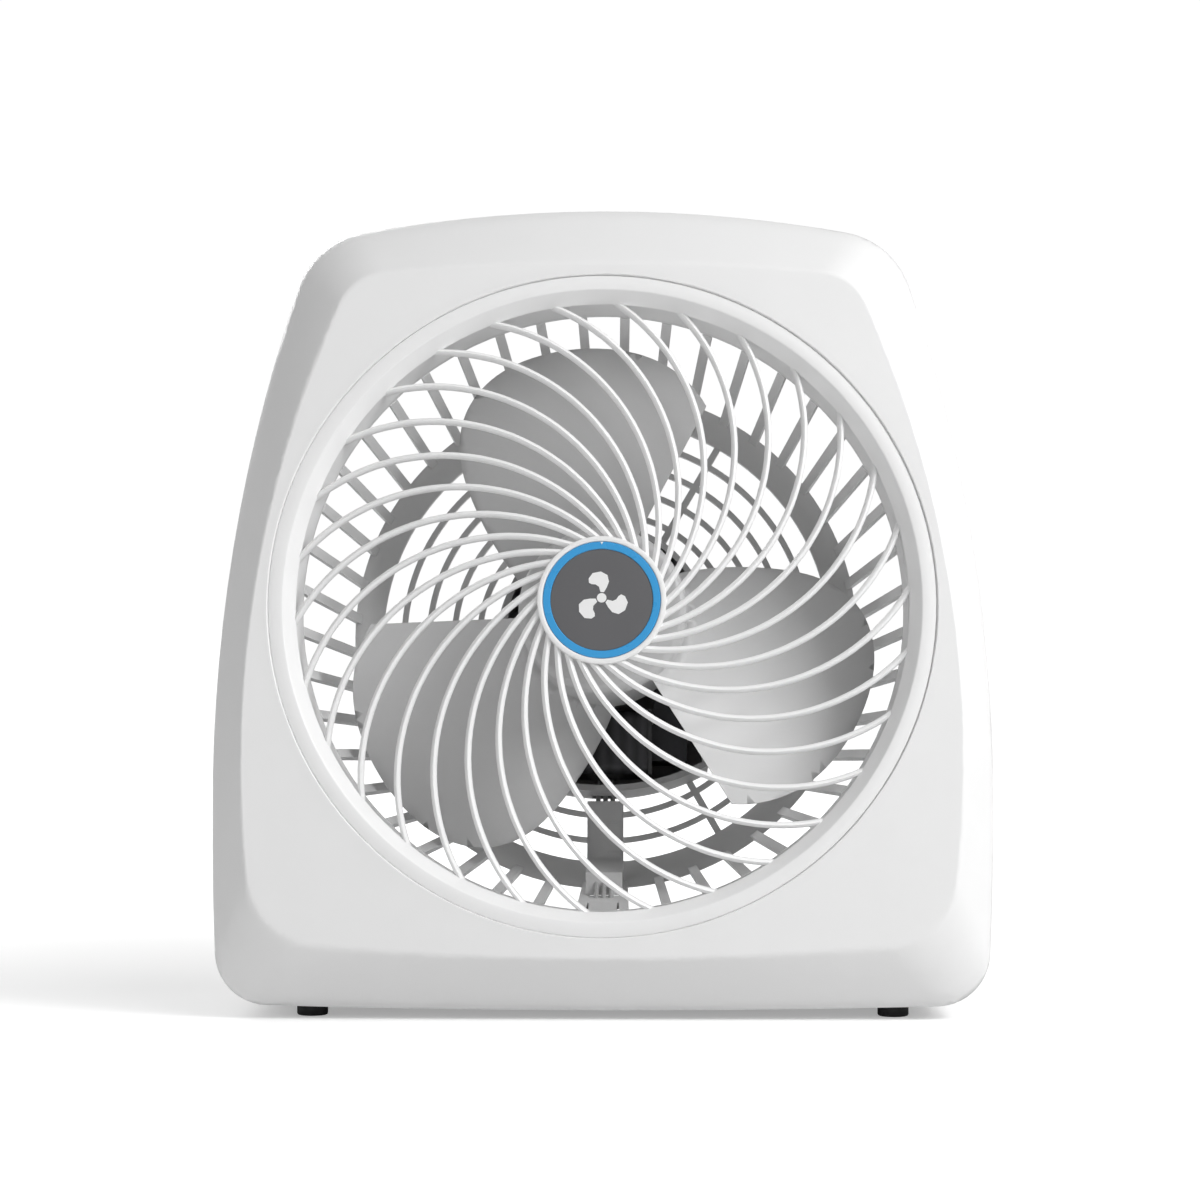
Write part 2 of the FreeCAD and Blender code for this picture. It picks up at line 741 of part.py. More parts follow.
blade_edge = [(-56.5, 74.0), (-50.0, 79.5), (-41.0, 84.6), (-30.0, 87.6), (-17.0, 89.0),
              (-5.0, 87.6), (4.0, 82.0), (11.0, 72.5), (18.0, 57.5), (26.0, 42.0), (36.0, 28.5)]
blade_middle = -10.0
blade_root = spinner_r - 5.0


def blade_surface():
    """A screw surface with a little camber, drawn through a grid of points."""
    rows = []
    for i in range(7):
        r = blade_root - 4.0 + i * (blade_tip_r + 8.0 - blade_root) / 6
        row = []
        for j in range(11):
            angle = -75.0 + 13.0 * j
            turn = math.radians(angle - blade_middle)
            camber = blade_camber * (1.0 - (turn / 0.9) ** 2) * r / blade_tip_r
            depth = blade_mid_depth + blade_pitch * turn + camber
            row.append(polar(r, angle, depth))
        rows.append(row)
    surface = Part.BSplineSurface()
    surface.interpolate(rows)
    return surface.toShape()


def blade_shape():
    """Plan outline of one blade: a straight trailing edge and one round sweep to the hub."""
    scale = blade_tip_r / max(r for _, r in blade_edge)
    points = [polar(r * scale, angle) for angle, r in blade_edge]
    sweep = Part.BSplineCurve()
    sweep.interpolate(points)
    root_trailing = polar(blade_root, -54.0)
    root_leading = polar(blade_root, 44.0)
    wire = Part.Wire([
        Part.LineSegment(root_trailing, points[0]).toShape(),
        sweep.toShape(),
        Part.LineSegment(points[-1], root_leading).toShape(),
        Part.LineSegment(root_leading, root_trailing).toShape(),
    ])
    return Part.Face(wire).extrude(V(0, spinner_back + 20.0, 0))


def make_impeller():
    sheet = blade_surface().extrude(V(0, blade_thick, 0))
    blade = sheet.common(blade_shape()).cut(disc(spinner_r - 1.0, 0, 100))
    cup = revolved([
        (0, spinner_front), (spinner_r - 3.0, spinner_front), (spinner_r - 0.8, spinner_front + 0.8),
        (spinner_r, spinner_front + 3.0), (spinner_r, spinner_back), (spinner_r - 2.0, spinner_back),
        (spinner_r - 2.0, spinner_front + 4.0), (boss_r, spinner_front + 2.5),
        (boss_r, pin_depth + 1.0), (0, pin_depth + 1.0),
    ])
    ribs = []
    for i in range(6):
        rib = block(boss_r - 0.5, spinner_r - 1.0, spinner_front + 1.5, spinner_front + 16.0, -0.7, 0.7)
        ribs.append(spun(rib, 30.0 + 60.0 * i))
    impeller = joined([cup] + ribs + around(blade, blade_count))
    slot_half = pin_r + 0.05
    slot = block(-pin_long, pin_long, pin_depth - slot_half, pin_depth + 2.0, -slot_half, slot_half)
    slot = slot.common(disc(boss_r + 1.0, 0, 100))
    return impeller.cut(disc(shaft_r + pressed, 0, 100)).cut(slot)


def make_spinner_nut():
    seat = spinner_front - touch
    cone_front = spinner_front - nut_long
    skirt_r = shaft_r + 5.0
    cap_r = shaft_r + 3.0
    nut = revolved([(0, cone_front - nut_cap), (0, seat), (skirt_r, seat), (skirt_r, spinner_front - 2.5),
                    (cap_r, cone_front), (cap_r, cone_front - nut_cap + 1.0), (cap_r - 1.0, cone_front - nut_cap)])
    return nut.cut(disc(shaft_r + pressed, shaft_front - 0.1, spinner_front))


# Pieces on the upright back panel, already standing

def make_speed_switch():
    case_front = panel_inside - switch_deep
    case = block(switch_x - switch_half, switch_x + switch_half, case_front, panel_inside - touch,
                 switch_z - switch_half, switch_z + switch_half)
    neck = disc(neck_r, panel_inside - 1, back_reach + 5.0, switch_x, switch_z)
    parts = [case, neck]
    for step in (-1, 0, 1):
        z = switch_z + step * terminal_drop
        parts.append(block(switch_x - 0.4, switch_x + 0.4, case_front - terminal_long, case_front + 0.5,
                           z - 2.0, z + 2.0))
    bore = disc(spindle_r + running, panel_inside - 8.0, back_reach + 6.0, switch_x, switch_z)
    return joined(parts).cut(bore)


def make_switch_spindle():
    spindle = disc(spindle_r, panel_inside - 7.7, knob_front + 8.0, switch_x, switch_z)
    return spindle.cut(block(switch_x - 5, switch_x + 5, knob_front, knob_front + 20,
                             switch_z + spindle_r - 0.8, switch_z + 10))


def make_switch_nut():
    points = []
    for i in range(6):
        corner = polar(neck_r + 2.6, 60.0 * i)
        points.append(V(switch_x + corner.x, back_reach + touch, switch_z + corner.z))
    nut = Part.Face(Part.makePolygon(points + [points[0]])).extrude(V(0, 2.2, 0))
    return nut.cut(disc(neck_r + touch, back_reach, back_reach + 5, switch_x, switch_z))


def make_speed_knob():
    skirt = disc(knob_r, knob_front - 2.8, knob_front + 2.0, switch_x, switch_z)
    hollow = disc(knob_r - 2.5, knob_front - 2.8, knob_front, switch_x, switch_z)
    grip = block(switch_x - 3.2, switch_x + 3.2, knob_front, knob_front + knob_long,
                 switch_z - knob_r + 1.5, switch_z + knob_r - 1.5)
    top = disc(knob_r - 1.5, knob_front, knob_front + 4.0, switch_x, switch_z)
    knob = joined([skirt.cut(hollow), grip, top])
    bore = disc(spindle_r + pressed, knob_front - 5, knob_front + 8.1, switch_x, switch_z)
    flat = block(switch_x - 5, switch_x + 5, knob_front + 0.1, knob_front + 20,
                 switch_z + spindle_r - 0.8 + pressed, switch_z + 10)
    return knob.cut(bore.cut(flat))


def make_cord_inlet():
    front = panel_inside - 2.0
    neck = disc(inlet_neck_r, front, back_reach + 2.5, -switch_x, inlet_z)
    outer = disc(inlet_neck_r + 2.3, back_reach + touch, back_reach + 2.5, -switch_x, inlet_z)
    lip = disc(inlet_neck_r + 1.0, front, panel_inside - touch, -switch_x, inlet_z)
    return joined([neck, outer, lip]).cut(disc(cord_r, front, back_reach + 3, -switch_x, inlet_z))


# Wiring

def routed(points, corner, r):
    """A lead: straight runs joined by tangent arcs, as a round tube."""
    edges = []
    start = points[0]
    for before, here, after in zip(points, points[1:], points[2:]):
        into = (here - before).normalize()
        away = (after - here).normalize()
        half_turn = into.getAngle(away) / 2
        back = corner * math.tan(half_turn)
        first = here - into * back
        last = here + away * back
        inward = (away - into).normalize()
        bulge = here + inward * (corner / math.cos(half_turn) - corner)
        edges.append(Part.LineSegment(start, first).toShape())
        edges.append(Part.Arc(first, bulge, last).toShape())
        start = last
    edges.append(Part.LineSegment(start, points[-1]).toShape())
    path = Part.Wire(edges)
    section = Part.Wire(Part.Circle(points[0], points[1] - points[0], r).toShape())
    return path.makePipeShell([section], True, False)


lead_r = 0.8
lead_bend = 4.5
lead_spacing = 2.4
splice_end = V(-24.0, 16.0, 12.5)     # right-hand end of the splice on the base
splice_long = 10.0


def terminal(step):
    return V(switch_x, panel_inside - switch_deep - terminal_long - 0.2, switch_z + step * terminal_drop)


def channel_run(x, low):
    """A motor lead from the coil down the channel and between two slats to the base."""
    bend_y, bend_z = channel_bend
    end_y, end_z = channel_end
    inside = bend_y - lead_r - 0.4
    return [
        standing_point(x, inside, -core_drop - coil_thick - 0.5),
        standing_point(x, inside, bend_z + 2.0),
        standing_point(x, end_y - 1.6, end_z + 1.4),
        standing_point(x, split_depth - 6.0, 1.0 - opening_r),
        V(x, 16.0, low),
    ]


def make_motor_leads():
    """Common, low and high: one to the splice, two to the switch."""
    common = channel_run(-lead_spacing, 12.5)
    common += [splice_end + V(9.0, -1.0, 0), splice_end + V(0.1, 0, 0)]
    leads = [common]
    for x, step, low in ((0.0, -1, 9.5), (lead_spacing, 1, 15.5)):
        run = channel_run(x, low)
        run += [V(22.0 + x, 19.0, low), V(52.0 + x, 30.0, low), terminal(step) - V(5.0, 16.0, 3.0), terminal(step)]
        leads.append(run)
    return Part.makeCompound([routed(points, lead_bend, lead_r) for points in leads])


def make_supply_leads():
    """The mains lead's two conductors, inside the housing only."""
    start = V(-switch_x, panel_inside - 2.4, inlet_z)
    side = V(1.4, 0, 0)
    far_end = splice_end - V(splice_long + 0.1, 0, 0)
    neutral = [start - side, start - side - V(0, 14.0, 2.0), V(-72.0, 38.0, 12.5), V(-50.0, 17.0, 12.5), far_end]
    live = [start + side, start + side - V(0, 12.0, 2.0), V(-60.0, 50.0, 9.5), V(-20.0, 52.0, 9.5),
            V(30.0, 52.0, 9.5), V(62.0, 44.0, 16.0), terminal(0) - V(3.0, 12.0, 4.0), terminal(0)]
    return Part.makeCompound([routed(points, lead_bend, lead_r) for points in (neutral, live)])


def make_wire_splice():
    """Crimped sleeve where the motor's common lead meets the supply."""
    return Part.makeCylinder(2.2, splice_long, splice_end, V(-1, 0, 0))


def make_feet(y):
    feet = []
    for x in (-foot_x, foot_x):
        boss_top = base_gap + 1.2 + foot_boss
        pad = Part.makeCylinder(foot_r, foot_high, V(x, y, 0))
        stem = Part.makeCylinder(stem_r, boss_top + 1.0 - foot_high, V(x, y, foot_high))
        head = Part.makeCylinder(stem_r + 1.0, 1.5, V(x, y, boss_top))
        feet.append(joined([pad, stem, head]))
    return Part.makeCompound(feet)


def make_housing_screws():
    screws = []
    seat = split_depth + post_seat
    for angle, r in housing_posts:
        spot = polar(r, angle)
        head = disc(screw_head_r, seat, seat + screw_head_long, spot.x, spot.z)
        shank = disc(thread_r, split_depth - 11.0, seat, spot.x, spot.z)
        screws.append(head.fuse(shank).removeSplitter())
    return Part.makeCompound(screws)


def make_grille_screws():
    screws = []
    back = duct_depth + flange_depth
    for angle in grille_screw_angles:
        spot = polar(grille_screw_r, angle)
        head = disc(screw_head_r, back, back + screw_head_long, spot.x, spot.z)
        shank = disc(thread_r, wall + 4.0, back, spot.x, spot.z)
        screws.append(head.fuse(shank).removeSplitter())
    return Part.makeCompound(screws)


def main():
    outer = outer_form()
    inner = inner_form()
    rim = make_grille_rim()
    leaning = dict(
        front_housing=make_front_housing(outer, inner),
        rear_housing=make_rear_housing(outer, inner),
        grille_rim=rim,
        grille_hub=make_grille_hub(),
        grille_bars=make_grille_bars(rim),
        badge_ring=make_badge_ring(),
        badge_disc=make_badge_disc(),
        rear_flange=make_rear_flange(),
        rear_slats=make_rear_slats(),
        rear_band=make_rear_band(),
        rear_rings=make_rear_rings(),
        wire_channel=make_wire_channel(),
        motor_cradle=make_motor_cradle(),
        stator_core=make_stator_core(),
        core_bar=make_core_bar(),
        coil_bobbin=make_coil_bobbin(),
        stator_coil=make_stator_coil(),
        shading_rings=make_shading_rings(),
        front_bracket=make_front_bracket(),
        rear_bracket=make_rear_bracket(),
        front_bushing=make_front_bushing(),
        rear_bushing=make_rear_bushing(),
        oil_felt=make_oil_felt(),
        thrust_washers=make_thrust_washers(),
        rotor=make_rotor(),
        motor_shaft=make_shaft(),
        cross_pin=make_cross_pin(),
        motor_screws=make_motor_screws(),
        cradle_screws=make_cradle_screws(),
        impeller=make_impeller(),
        spinner_nut=make_spinner_nut(),
        housing_screws=make_housing_screws(),
        grille_screws=make_grille_screws(),
    )
    upright = dict(
        speed_switch=make_speed_switch(),
        switch_spindle=make_switch_spindle(),
        switch_nut=make_switch_nut(),
        speed_knob=make_speed_knob(),
        cord_inlet=make_cord_inlet(),
        motor_leads=make_motor_leads(),
        supply_leads=make_supply_leads(),
        wire_splice=make_wire_splice(),
        front_feet=make_feet(front_foot_y),
        rear_feet=make_feet(rear_foot_y),
    )
    pieces = {name: stand(shape) for name, shape in leaning.items()}
    pieces.update(upright)
    boxes = [shape.optimalBoundingBox(False, False) for shape in pieces.values()]
    front = min(box.YMin for box in boxes)
    back = max(box.YMax for box in boxes)
    shift = V(0, -(front + back) / 2, 0)
    os.makedirs("parts", exist_ok=True)
    for name, shape in pieces.items():
        shape.translate(shift)
        print(name, "solids", len(shape.Solids), "valid", shape.isValid(), "volume", round(shape.Volume, 1))
        shape.exportStep("parts/" + name + ".step")
    axis_point = standing_point(0, 0, 0) + shift
    print("axis point", axis_point, "back", V(0, cosine, -sine), "shift", shift.y)
    print("depth", back - front, "top", max(box.ZMax for box in boxes))


main()
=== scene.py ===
import json
import math
import bpy
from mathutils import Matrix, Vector


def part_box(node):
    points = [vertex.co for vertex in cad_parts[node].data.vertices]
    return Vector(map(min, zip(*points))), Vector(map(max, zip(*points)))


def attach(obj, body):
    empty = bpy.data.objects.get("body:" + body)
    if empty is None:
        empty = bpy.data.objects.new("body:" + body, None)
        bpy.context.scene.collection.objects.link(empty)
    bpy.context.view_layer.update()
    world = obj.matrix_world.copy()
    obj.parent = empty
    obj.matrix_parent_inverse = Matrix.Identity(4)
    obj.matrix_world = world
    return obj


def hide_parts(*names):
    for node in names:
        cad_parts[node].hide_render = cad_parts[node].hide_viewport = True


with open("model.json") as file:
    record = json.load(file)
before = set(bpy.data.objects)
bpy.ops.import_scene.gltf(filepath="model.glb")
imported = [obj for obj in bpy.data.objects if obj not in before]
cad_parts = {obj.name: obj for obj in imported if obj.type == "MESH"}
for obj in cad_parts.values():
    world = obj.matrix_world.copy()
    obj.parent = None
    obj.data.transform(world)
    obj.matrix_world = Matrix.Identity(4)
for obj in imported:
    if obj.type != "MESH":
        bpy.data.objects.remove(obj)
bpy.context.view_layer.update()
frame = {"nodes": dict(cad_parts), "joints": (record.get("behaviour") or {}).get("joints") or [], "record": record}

bpy.ops.object.select_all(action="DESELECT")
print("frame loaded", len(frame["nodes"]), "nodes")

mm = 0.001
quarter = math.radians(90)
lean = math.radians(8.2)  # the fan's own axis leans back by this about the world's X
jointAt = {joint["name"]: Vector(joint["pos_m"]) for joint in frame["joints"]}
axisPoint = jointAt["impeller_spin"]  # where the axis meets the front face
dial = jointAt["knob_turn"] / mm  # middle of the knob on the back panel


# Camera, light and floor

shot = {"lens": 105.0, "distance": 1.097, "turn": 1.0, "height": 0.1311, "across": -0.0006, "farthest": 60}


def placeCamera():
    turn = math.radians(shot["turn"])
    bpy.ops.object.camera_add(
        location=(shot["across"] + shot["distance"] * math.sin(turn),
                  axisPoint.y - shot["distance"] * math.cos(turn), shot["height"]),
        rotation=(quarter, 0, turn))
    camera = bpy.context.object
    camera.name = "camera"
    camera.data.lens = shot["lens"]
    camera.data.clip_end = shot["farthest"]
    bpy.context.scene.camera = camera


studio = {"seen": 1.02, "ambient": 0.25, "middle": (0, 0, 0.13)}
sun = {"power": 1.0, "spread": 50.0, "place": Vector((0.62, -0.40, 0.75)) * 3}
boxes = {  # place, power and size of each soft box
    "keyBox": ((0.70, -0.52, 0.62), 5.6, 0.35),
    "fillBox": ((-1.0, -0.65, 0.16), 2.0, 0.6),
    "backBox": ((-0.55, 0.95, 0.75), 7.0, 0.7),
}
floorPaint = {"size": 30, "tone": 0.8, "rough": 0.9, "gloss": 0.1, "glowNear": 0.34, "glowFar": 0.74,
              "nearEdge": 0.2, "farEdge": 0.75}


def aimed(place, target):
    return (Vector(target) - Vector(place)).to_track_quat("-Z", "Y").to_euler()


def addLamp(name, kind, place, target, energy, size):
    bpy.ops.object.light_add(type=kind, location=place, rotation=aimed(place, target))
    lamp = bpy.context.object
    lamp.name = name
    lamp.data.energy = energy
    if kind == "SUN":
        lamp.data.angle = math.radians(size)
    else:
        lamp.data.size = size
    return lamp


def lightStudio():
    addLamp("softSun", "SUN", sun["place"], (0, 0, 0), sun["power"], sun["spread"])
    for name, (place, power, size) in boxes.items():
        addLamp(name, "AREA", place, studio["middle"], power, size)
    world = bpy.data.worlds.new("studio")
    bpy.context.scene.world = world
    world.use_nodes = True
    nodes, links = world.node_tree.nodes, world.node_tree.links
    background = nodes["Background"]
    background.inputs["Color"].default_value = (1, 1, 1, 1)
    path = nodes.new("ShaderNodeLightPath")
    strength = nodes.new("ShaderNodeMapRange")
    strength.inputs["To Min"].default_value = studio["ambient"]
    strength.inputs["To Max"].default_value = studio["seen"]
    links.new(path.outputs["Is Camera Ray"], strength.inputs["Value"])
    links.new(strength.outputs["Result"], background.inputs["Strength"])
    bpy.context.scene.view_settings.view_transform = "Standard"


def layFloor():
    bpy.ops.mesh.primitive_plane_add(size=floorPaint["size"], location=(0, 0, 0))
    floor = bpy.context.object
    floor.name = "floor"
    paint = bpy.data.materials.new("paleFloor")
    paint.use_nodes = True
    nodes, links = paint.node_tree.nodes, paint.node_tree.links
    shader = nodes["Principled BSDF"]
    shader.inputs["Base Color"].default_value = (*[floorPaint["tone"]] * 3, 1)
    shader.inputs["Roughness"].default_value = floorPaint["rough"]
    shader.inputs["Specular IOR Level"].default_value = floorPaint["gloss"]
    shader.inputs["Emission Color"].default_value = (1, 1, 1, 1)
    path = nodes.new("ShaderNodeLightPath")
    glow = nodes.new("ShaderNodeMath")
    glow.operation = "MULTIPLY"
    geometry = nodes.new("ShaderNodeNewGeometry")
    reach = nodes.new("ShaderNodeVectorMath")
    reach.operation = "LENGTH"
    level = nodes.new("ShaderNodeMapRange")  # brighter away from the fan, so that the far edge isn't seen
    level.interpolation_type = "SMOOTHSTEP"
    for label, key in (("From Min", "nearEdge"), ("From Max", "farEdge"), ("To Min", "glowNear"),
                       ("To Max", "glowFar")):
        level.inputs[label].default_value = floorPaint[key]
    links.new(geometry.outputs["Position"], reach.inputs[0])
    links.new(reach.outputs["Value"], level.inputs["Value"])
    links.new(level.outputs["Result"], glow.inputs[1])
    links.new(path.outputs["Is Camera Ray"], glow.inputs[0])
    links.new(glow.outputs[0], shader.inputs["Emission Strength"])
    floor.data.materials.append(paint)


placeCamera()
lightStudio()
layFloor()
print("camera, lights and floor")

# Shader groups

def newGroup(name, inputs, outputs):
    group = bpy.data.node_groups.new(name, "ShaderNodeTree")
    for label, kind, value in inputs:
        socket = group.interface.new_socket(name=label, in_out="INPUT", socket_type=kind)
        socket.default_value = value
    for label, kind in outputs:
        group.interface.new_socket(name=label, in_out="OUTPUT", socket_type=kind)
    return group, group.nodes.new("NodeGroupInput"), group.nodes.new("NodeGroupOutput")


def addMath(tree, operation, first, second=None):
    node = tree.nodes.new("ShaderNodeMath")
    node.operation = operation
    for socket, value in zip(node.inputs, (first, second)):
        if value is None:
            continue
        if isinstance(value, bpy.types.NodeSocket):
            tree.links.new(value, socket)
        else:
            socket.default_value = value
    return node.outputs[0]


def addNoise(tree, vector, scale, detail=3.0, rough=0.5):
    node = tree.nodes.new("ShaderNodeTexNoise")
    tree.links.new(vector, node.inputs["Vector"])
    if isinstance(scale, bpy.types.NodeSocket):
        tree.links.new(scale, node.inputs["Scale"])
    else:
        node.inputs["Scale"].default_value = scale
    node.inputs["Detail"].default_value = detail
    node.inputs["Roughness"].default_value = rough
    return node.outputs["Fac"]


moulding = {"grainDetail": 2.0, "grainRough": 0.55, "flowScale": 38.0, "flowDetail": 4.0, "flowRough": 0.6,
            "dustScale": 900.0, "dustDetail": 5.0, "dustRough": 0.7, "dustFrom": 0.5, "dustTo": 0.72,
            "dustColour": (0.62, 0.60, 0.56, 1), "glossChange": 0.16, "dustGloss": 0.4}


def mouldedSurface():  # fine spark-eroded grain, faint flow marks and settled dust
    group, given, made = newGroup(
        "mouldedSurface",
        [("Colour", "NodeSocketColor", (0.8, 0.8, 0.8, 1)), ("Grain Scale", "NodeSocketFloat", 2600.0),
         ("Grain", "NodeSocketFloat", 0.5), ("Roughness", "NodeSocketFloat", 0.45),
         ("Variation", "NodeSocketFloat", 0.03), ("Dust", "NodeSocketFloat", 0.05)],
        [("Colour", "NodeSocketColor"), ("Roughness", "NodeSocketFloat"), ("Height", "NodeSocketFloat")])
    links = group.links
    place = group.nodes.new("ShaderNodeTexCoord").outputs["Object"]
    grain = addNoise(group, place, given.outputs["Grain Scale"], moulding["grainDetail"],
                     moulding["grainRough"])
    flow = addNoise(group, place, moulding["flowScale"], moulding["flowDetail"], moulding["flowRough"])
    links.new(addMath(group, "MULTIPLY", grain, given.outputs["Grain"]), made.inputs["Height"])
    shade = addMath(group, "MULTIPLY", addMath(group, "SUBTRACT", flow, 0.5), given.outputs["Variation"])
    gain = addMath(group, "ADD", shade, 1.0)
    tint = group.nodes.new("ShaderNodeVectorMath")
    tint.operation = "SCALE"
    links.new(given.outputs["Colour"], tint.inputs[0])
    links.new(gain, tint.inputs["Scale"])
    upright = group.nodes.new("ShaderNodeNewGeometry")
    split = group.nodes.new("ShaderNodeSeparateXYZ")
    links.new(upright.outputs["Normal"], split.inputs[0])
    facingUp = addMath(group, "MAXIMUM", split.outputs["Z"], 0.0)
    speck = group.nodes.new("ShaderNodeMapRange")
    dots = addNoise(group, place, moulding["dustScale"], moulding["dustDetail"], moulding["dustRough"])
    links.new(dots, speck.inputs["Value"])
    speck.inputs["From Min"].default_value = moulding["dustFrom"]
    speck.inputs["From Max"].default_value = moulding["dustTo"]
    settled = addMath(group, "MULTIPLY", addMath(group, "MULTIPLY", facingUp, speck.outputs["Result"]),
                      given.outputs["Dust"])
    blend = group.nodes.new("ShaderNodeMix")
    blend.data_type = "RGBA"
    links.new(settled, blend.inputs["Factor"])
    links.new(tint.outputs[0], blend.inputs["A"])
    blend.inputs["B"].default_value = moulding["dustColour"]
    links.new(blend.outputs["Result"], made.inputs["Colour"])
    uneven = addMath(group, "MULTIPLY", addMath(group, "SUBTRACT", flow, 0.5), moulding["glossChange"])
    rough = addMath(group, "ADD", given.outputs["Roughness"], uneven)
    dusty = addMath(group, "MULTIPLY", settled, moulding["dustGloss"])
    links.new(addMath(group, "ADD", rough, dusty), made.inputs["Roughness"])
    return group


working = {"markDetail": 4.0, "markRough": 0.65, "stainScale": 160.0, "stainDetail": 3.0, "stainRough": 0.6,
           "stain": 0.22, "darkest": 0.88, "glossChange": 0.3}


def workedMetal():  # turning or drawing marks along one direction, with small scuffs
    group, given, made = newGroup(
        "workedMetal",
        [("Colour", "NodeSocketColor", (0.6, 0.6, 0.6, 1)), ("Stretch", "NodeSocketVector", (1, 1, 1)),
         ("Scale", "NodeSocketFloat", 900.0), ("Marks", "NodeSocketFloat", 0.5),
         ("Roughness", "NodeSocketFloat", 0.3)],
        [("Colour", "NodeSocketColor"), ("Roughness", "NodeSocketFloat"), ("Height", "NodeSocketFloat")])
    links = group.links
    place = group.nodes.new("ShaderNodeTexCoord").outputs["Object"]
    stretch = group.nodes.new("ShaderNodeVectorMath")
    stretch.operation = "MULTIPLY"
    links.new(place, stretch.inputs[0])
    links.new(given.outputs["Stretch"], stretch.inputs[1])
    marks = addNoise(group, stretch.outputs[0], given.outputs["Scale"], working["markDetail"],
                     working["markRough"])
    stain = addNoise(group, place, working["stainScale"], working["stainDetail"], working["stainRough"])
    links.new(addMath(group, "MULTIPLY", marks, given.outputs["Marks"]), made.inputs["Height"])
    gain = addMath(group, "ADD", addMath(group, "MULTIPLY", stain, working["stain"]), working["darkest"])
    tint = group.nodes.new("ShaderNodeVectorMath")
    tint.operation = "SCALE"
    links.new(given.outputs["Colour"], tint.inputs[0])
    links.new(gain, tint.inputs["Scale"])
    links.new(tint.outputs[0], made.inputs["Colour"])
    uneven = addMath(group, "MULTIPLY", addMath(group, "SUBTRACT", stain, 0.5), working["glossChange"])
    links.new(addMath(group, "ADD", given.outputs["Roughness"], uneven), made.inputs["Roughness"])
    return group


mouldGroup = mouldedSurface()
metalGroup = workedMetal()
print("shader groups")


# Finishes, one for each material slot

def startFinish(name, group, values, height):
    paint = bpy.data.materials.new(name)
    paint.use_nodes = True
    tree = paint.node_tree
    shader = tree.nodes["Principled BSDF"]
    use = tree.nodes.new("ShaderNodeGroup")
    use.node_tree = group
    for label, value in values.items():
        use.inputs[label].default_value = value
    tree.links.new(use.outputs["Colour"], shader.inputs["Base Color"])
    tree.links.new(use.outputs["Roughness"], shader.inputs["Roughness"])
    bump = tree.nodes.new("ShaderNodeBump")
    bump.inputs["Distance"].default_value = height
    bump.inputs["Strength"].default_value = 1.0
    tree.links.new(use.outputs["Height"], bump.inputs["Height"])
    tree.links.new(bump.outputs["Normal"], shader.inputs["Normal"])
    return paint, shader


relief = {"plastic": 0.00005, "metal": 0.00004}  # bump height of each group, in metres


def plastic(name, colour, rough=0.42, grain=0.5, scale=2600.0, dust=0.05, variation=0.03, coat=0.0,
            level=0.5):
    values = {"Colour": (*colour, 1), "Grain Scale": scale, "Grain": grain, "Roughness": rough,
              "Variation": variation, "Dust": dust}
    paint, shader = startFinish(name, mouldGroup, values, relief["plastic"])
    shader.inputs["Specular IOR Level"].default_value = level
    shader.inputs["Coat Weight"].default_value = coat
    shader.inputs["Coat Roughness"].default_value = 0.15
    return paint


def metal(name, colour, rough=0.3, stretch=(1, 1, 1), scale=900.0, marks=0.5, metallic=1.0):
    values = {"Colour": (*colour, 1), "Stretch": stretch, "Scale": scale, "Marks": marks,
              "Roughness": rough}
    paint, shader = startFinish(name, metalGroup, values, relief["metal"])
    shader.inputs["Metallic"].default_value = metallic
    return paint


waveForPitch = 0.314  # a wave texture's scale times its pitch in metres


def addRidges(paint, colour, pitch, depth, across=(0, 0, 0)):  # straight ridges of laminations and tape
    tree = paint.node_tree
    place = tree.nodes.new("ShaderNodeTexCoord")
    turn = tree.nodes.new("ShaderNodeMapping")
    turn.inputs["Rotation"].default_value = across
    tree.links.new(place.outputs["Object"], turn.inputs["Vector"])
    wave = tree.nodes.new("ShaderNodeTexWave")
    wave.bands_direction = "Y"
    wave.inputs["Scale"].default_value = waveForPitch / pitch
    wave.inputs["Distortion"].default_value = 0.3
    wave.inputs["Detail"].default_value = 1.0
    tree.links.new(turn.outputs["Vector"], wave.inputs["Vector"])
    shader = tree.nodes["Principled BSDF"]
    under = shader.inputs["Base Color"].links[0].from_socket
    blend = tree.nodes.new("ShaderNodeMix")
    blend.data_type = "RGBA"
    tree.links.new(wave.outputs["Fac"], blend.inputs["Factor"])
    blend.inputs["A"].default_value = (*colour, 1)
    tree.links.new(under, blend.inputs["B"])
    tree.links.new(blend.outputs["Result"], shader.inputs["Base Color"])
    first = shader.inputs["Normal"].links[0].from_node
    second = tree.nodes.new("ShaderNodeBump")
    second.inputs["Distance"].default_value = depth
    tree.links.new(wave.outputs["Fac"], second.inputs["Height"])
    tree.links.new(first.outputs["Normal"], second.inputs["Normal"])
    tree.links.new(second.outputs["Normal"], shader.inputs["Normal"])
    return paint


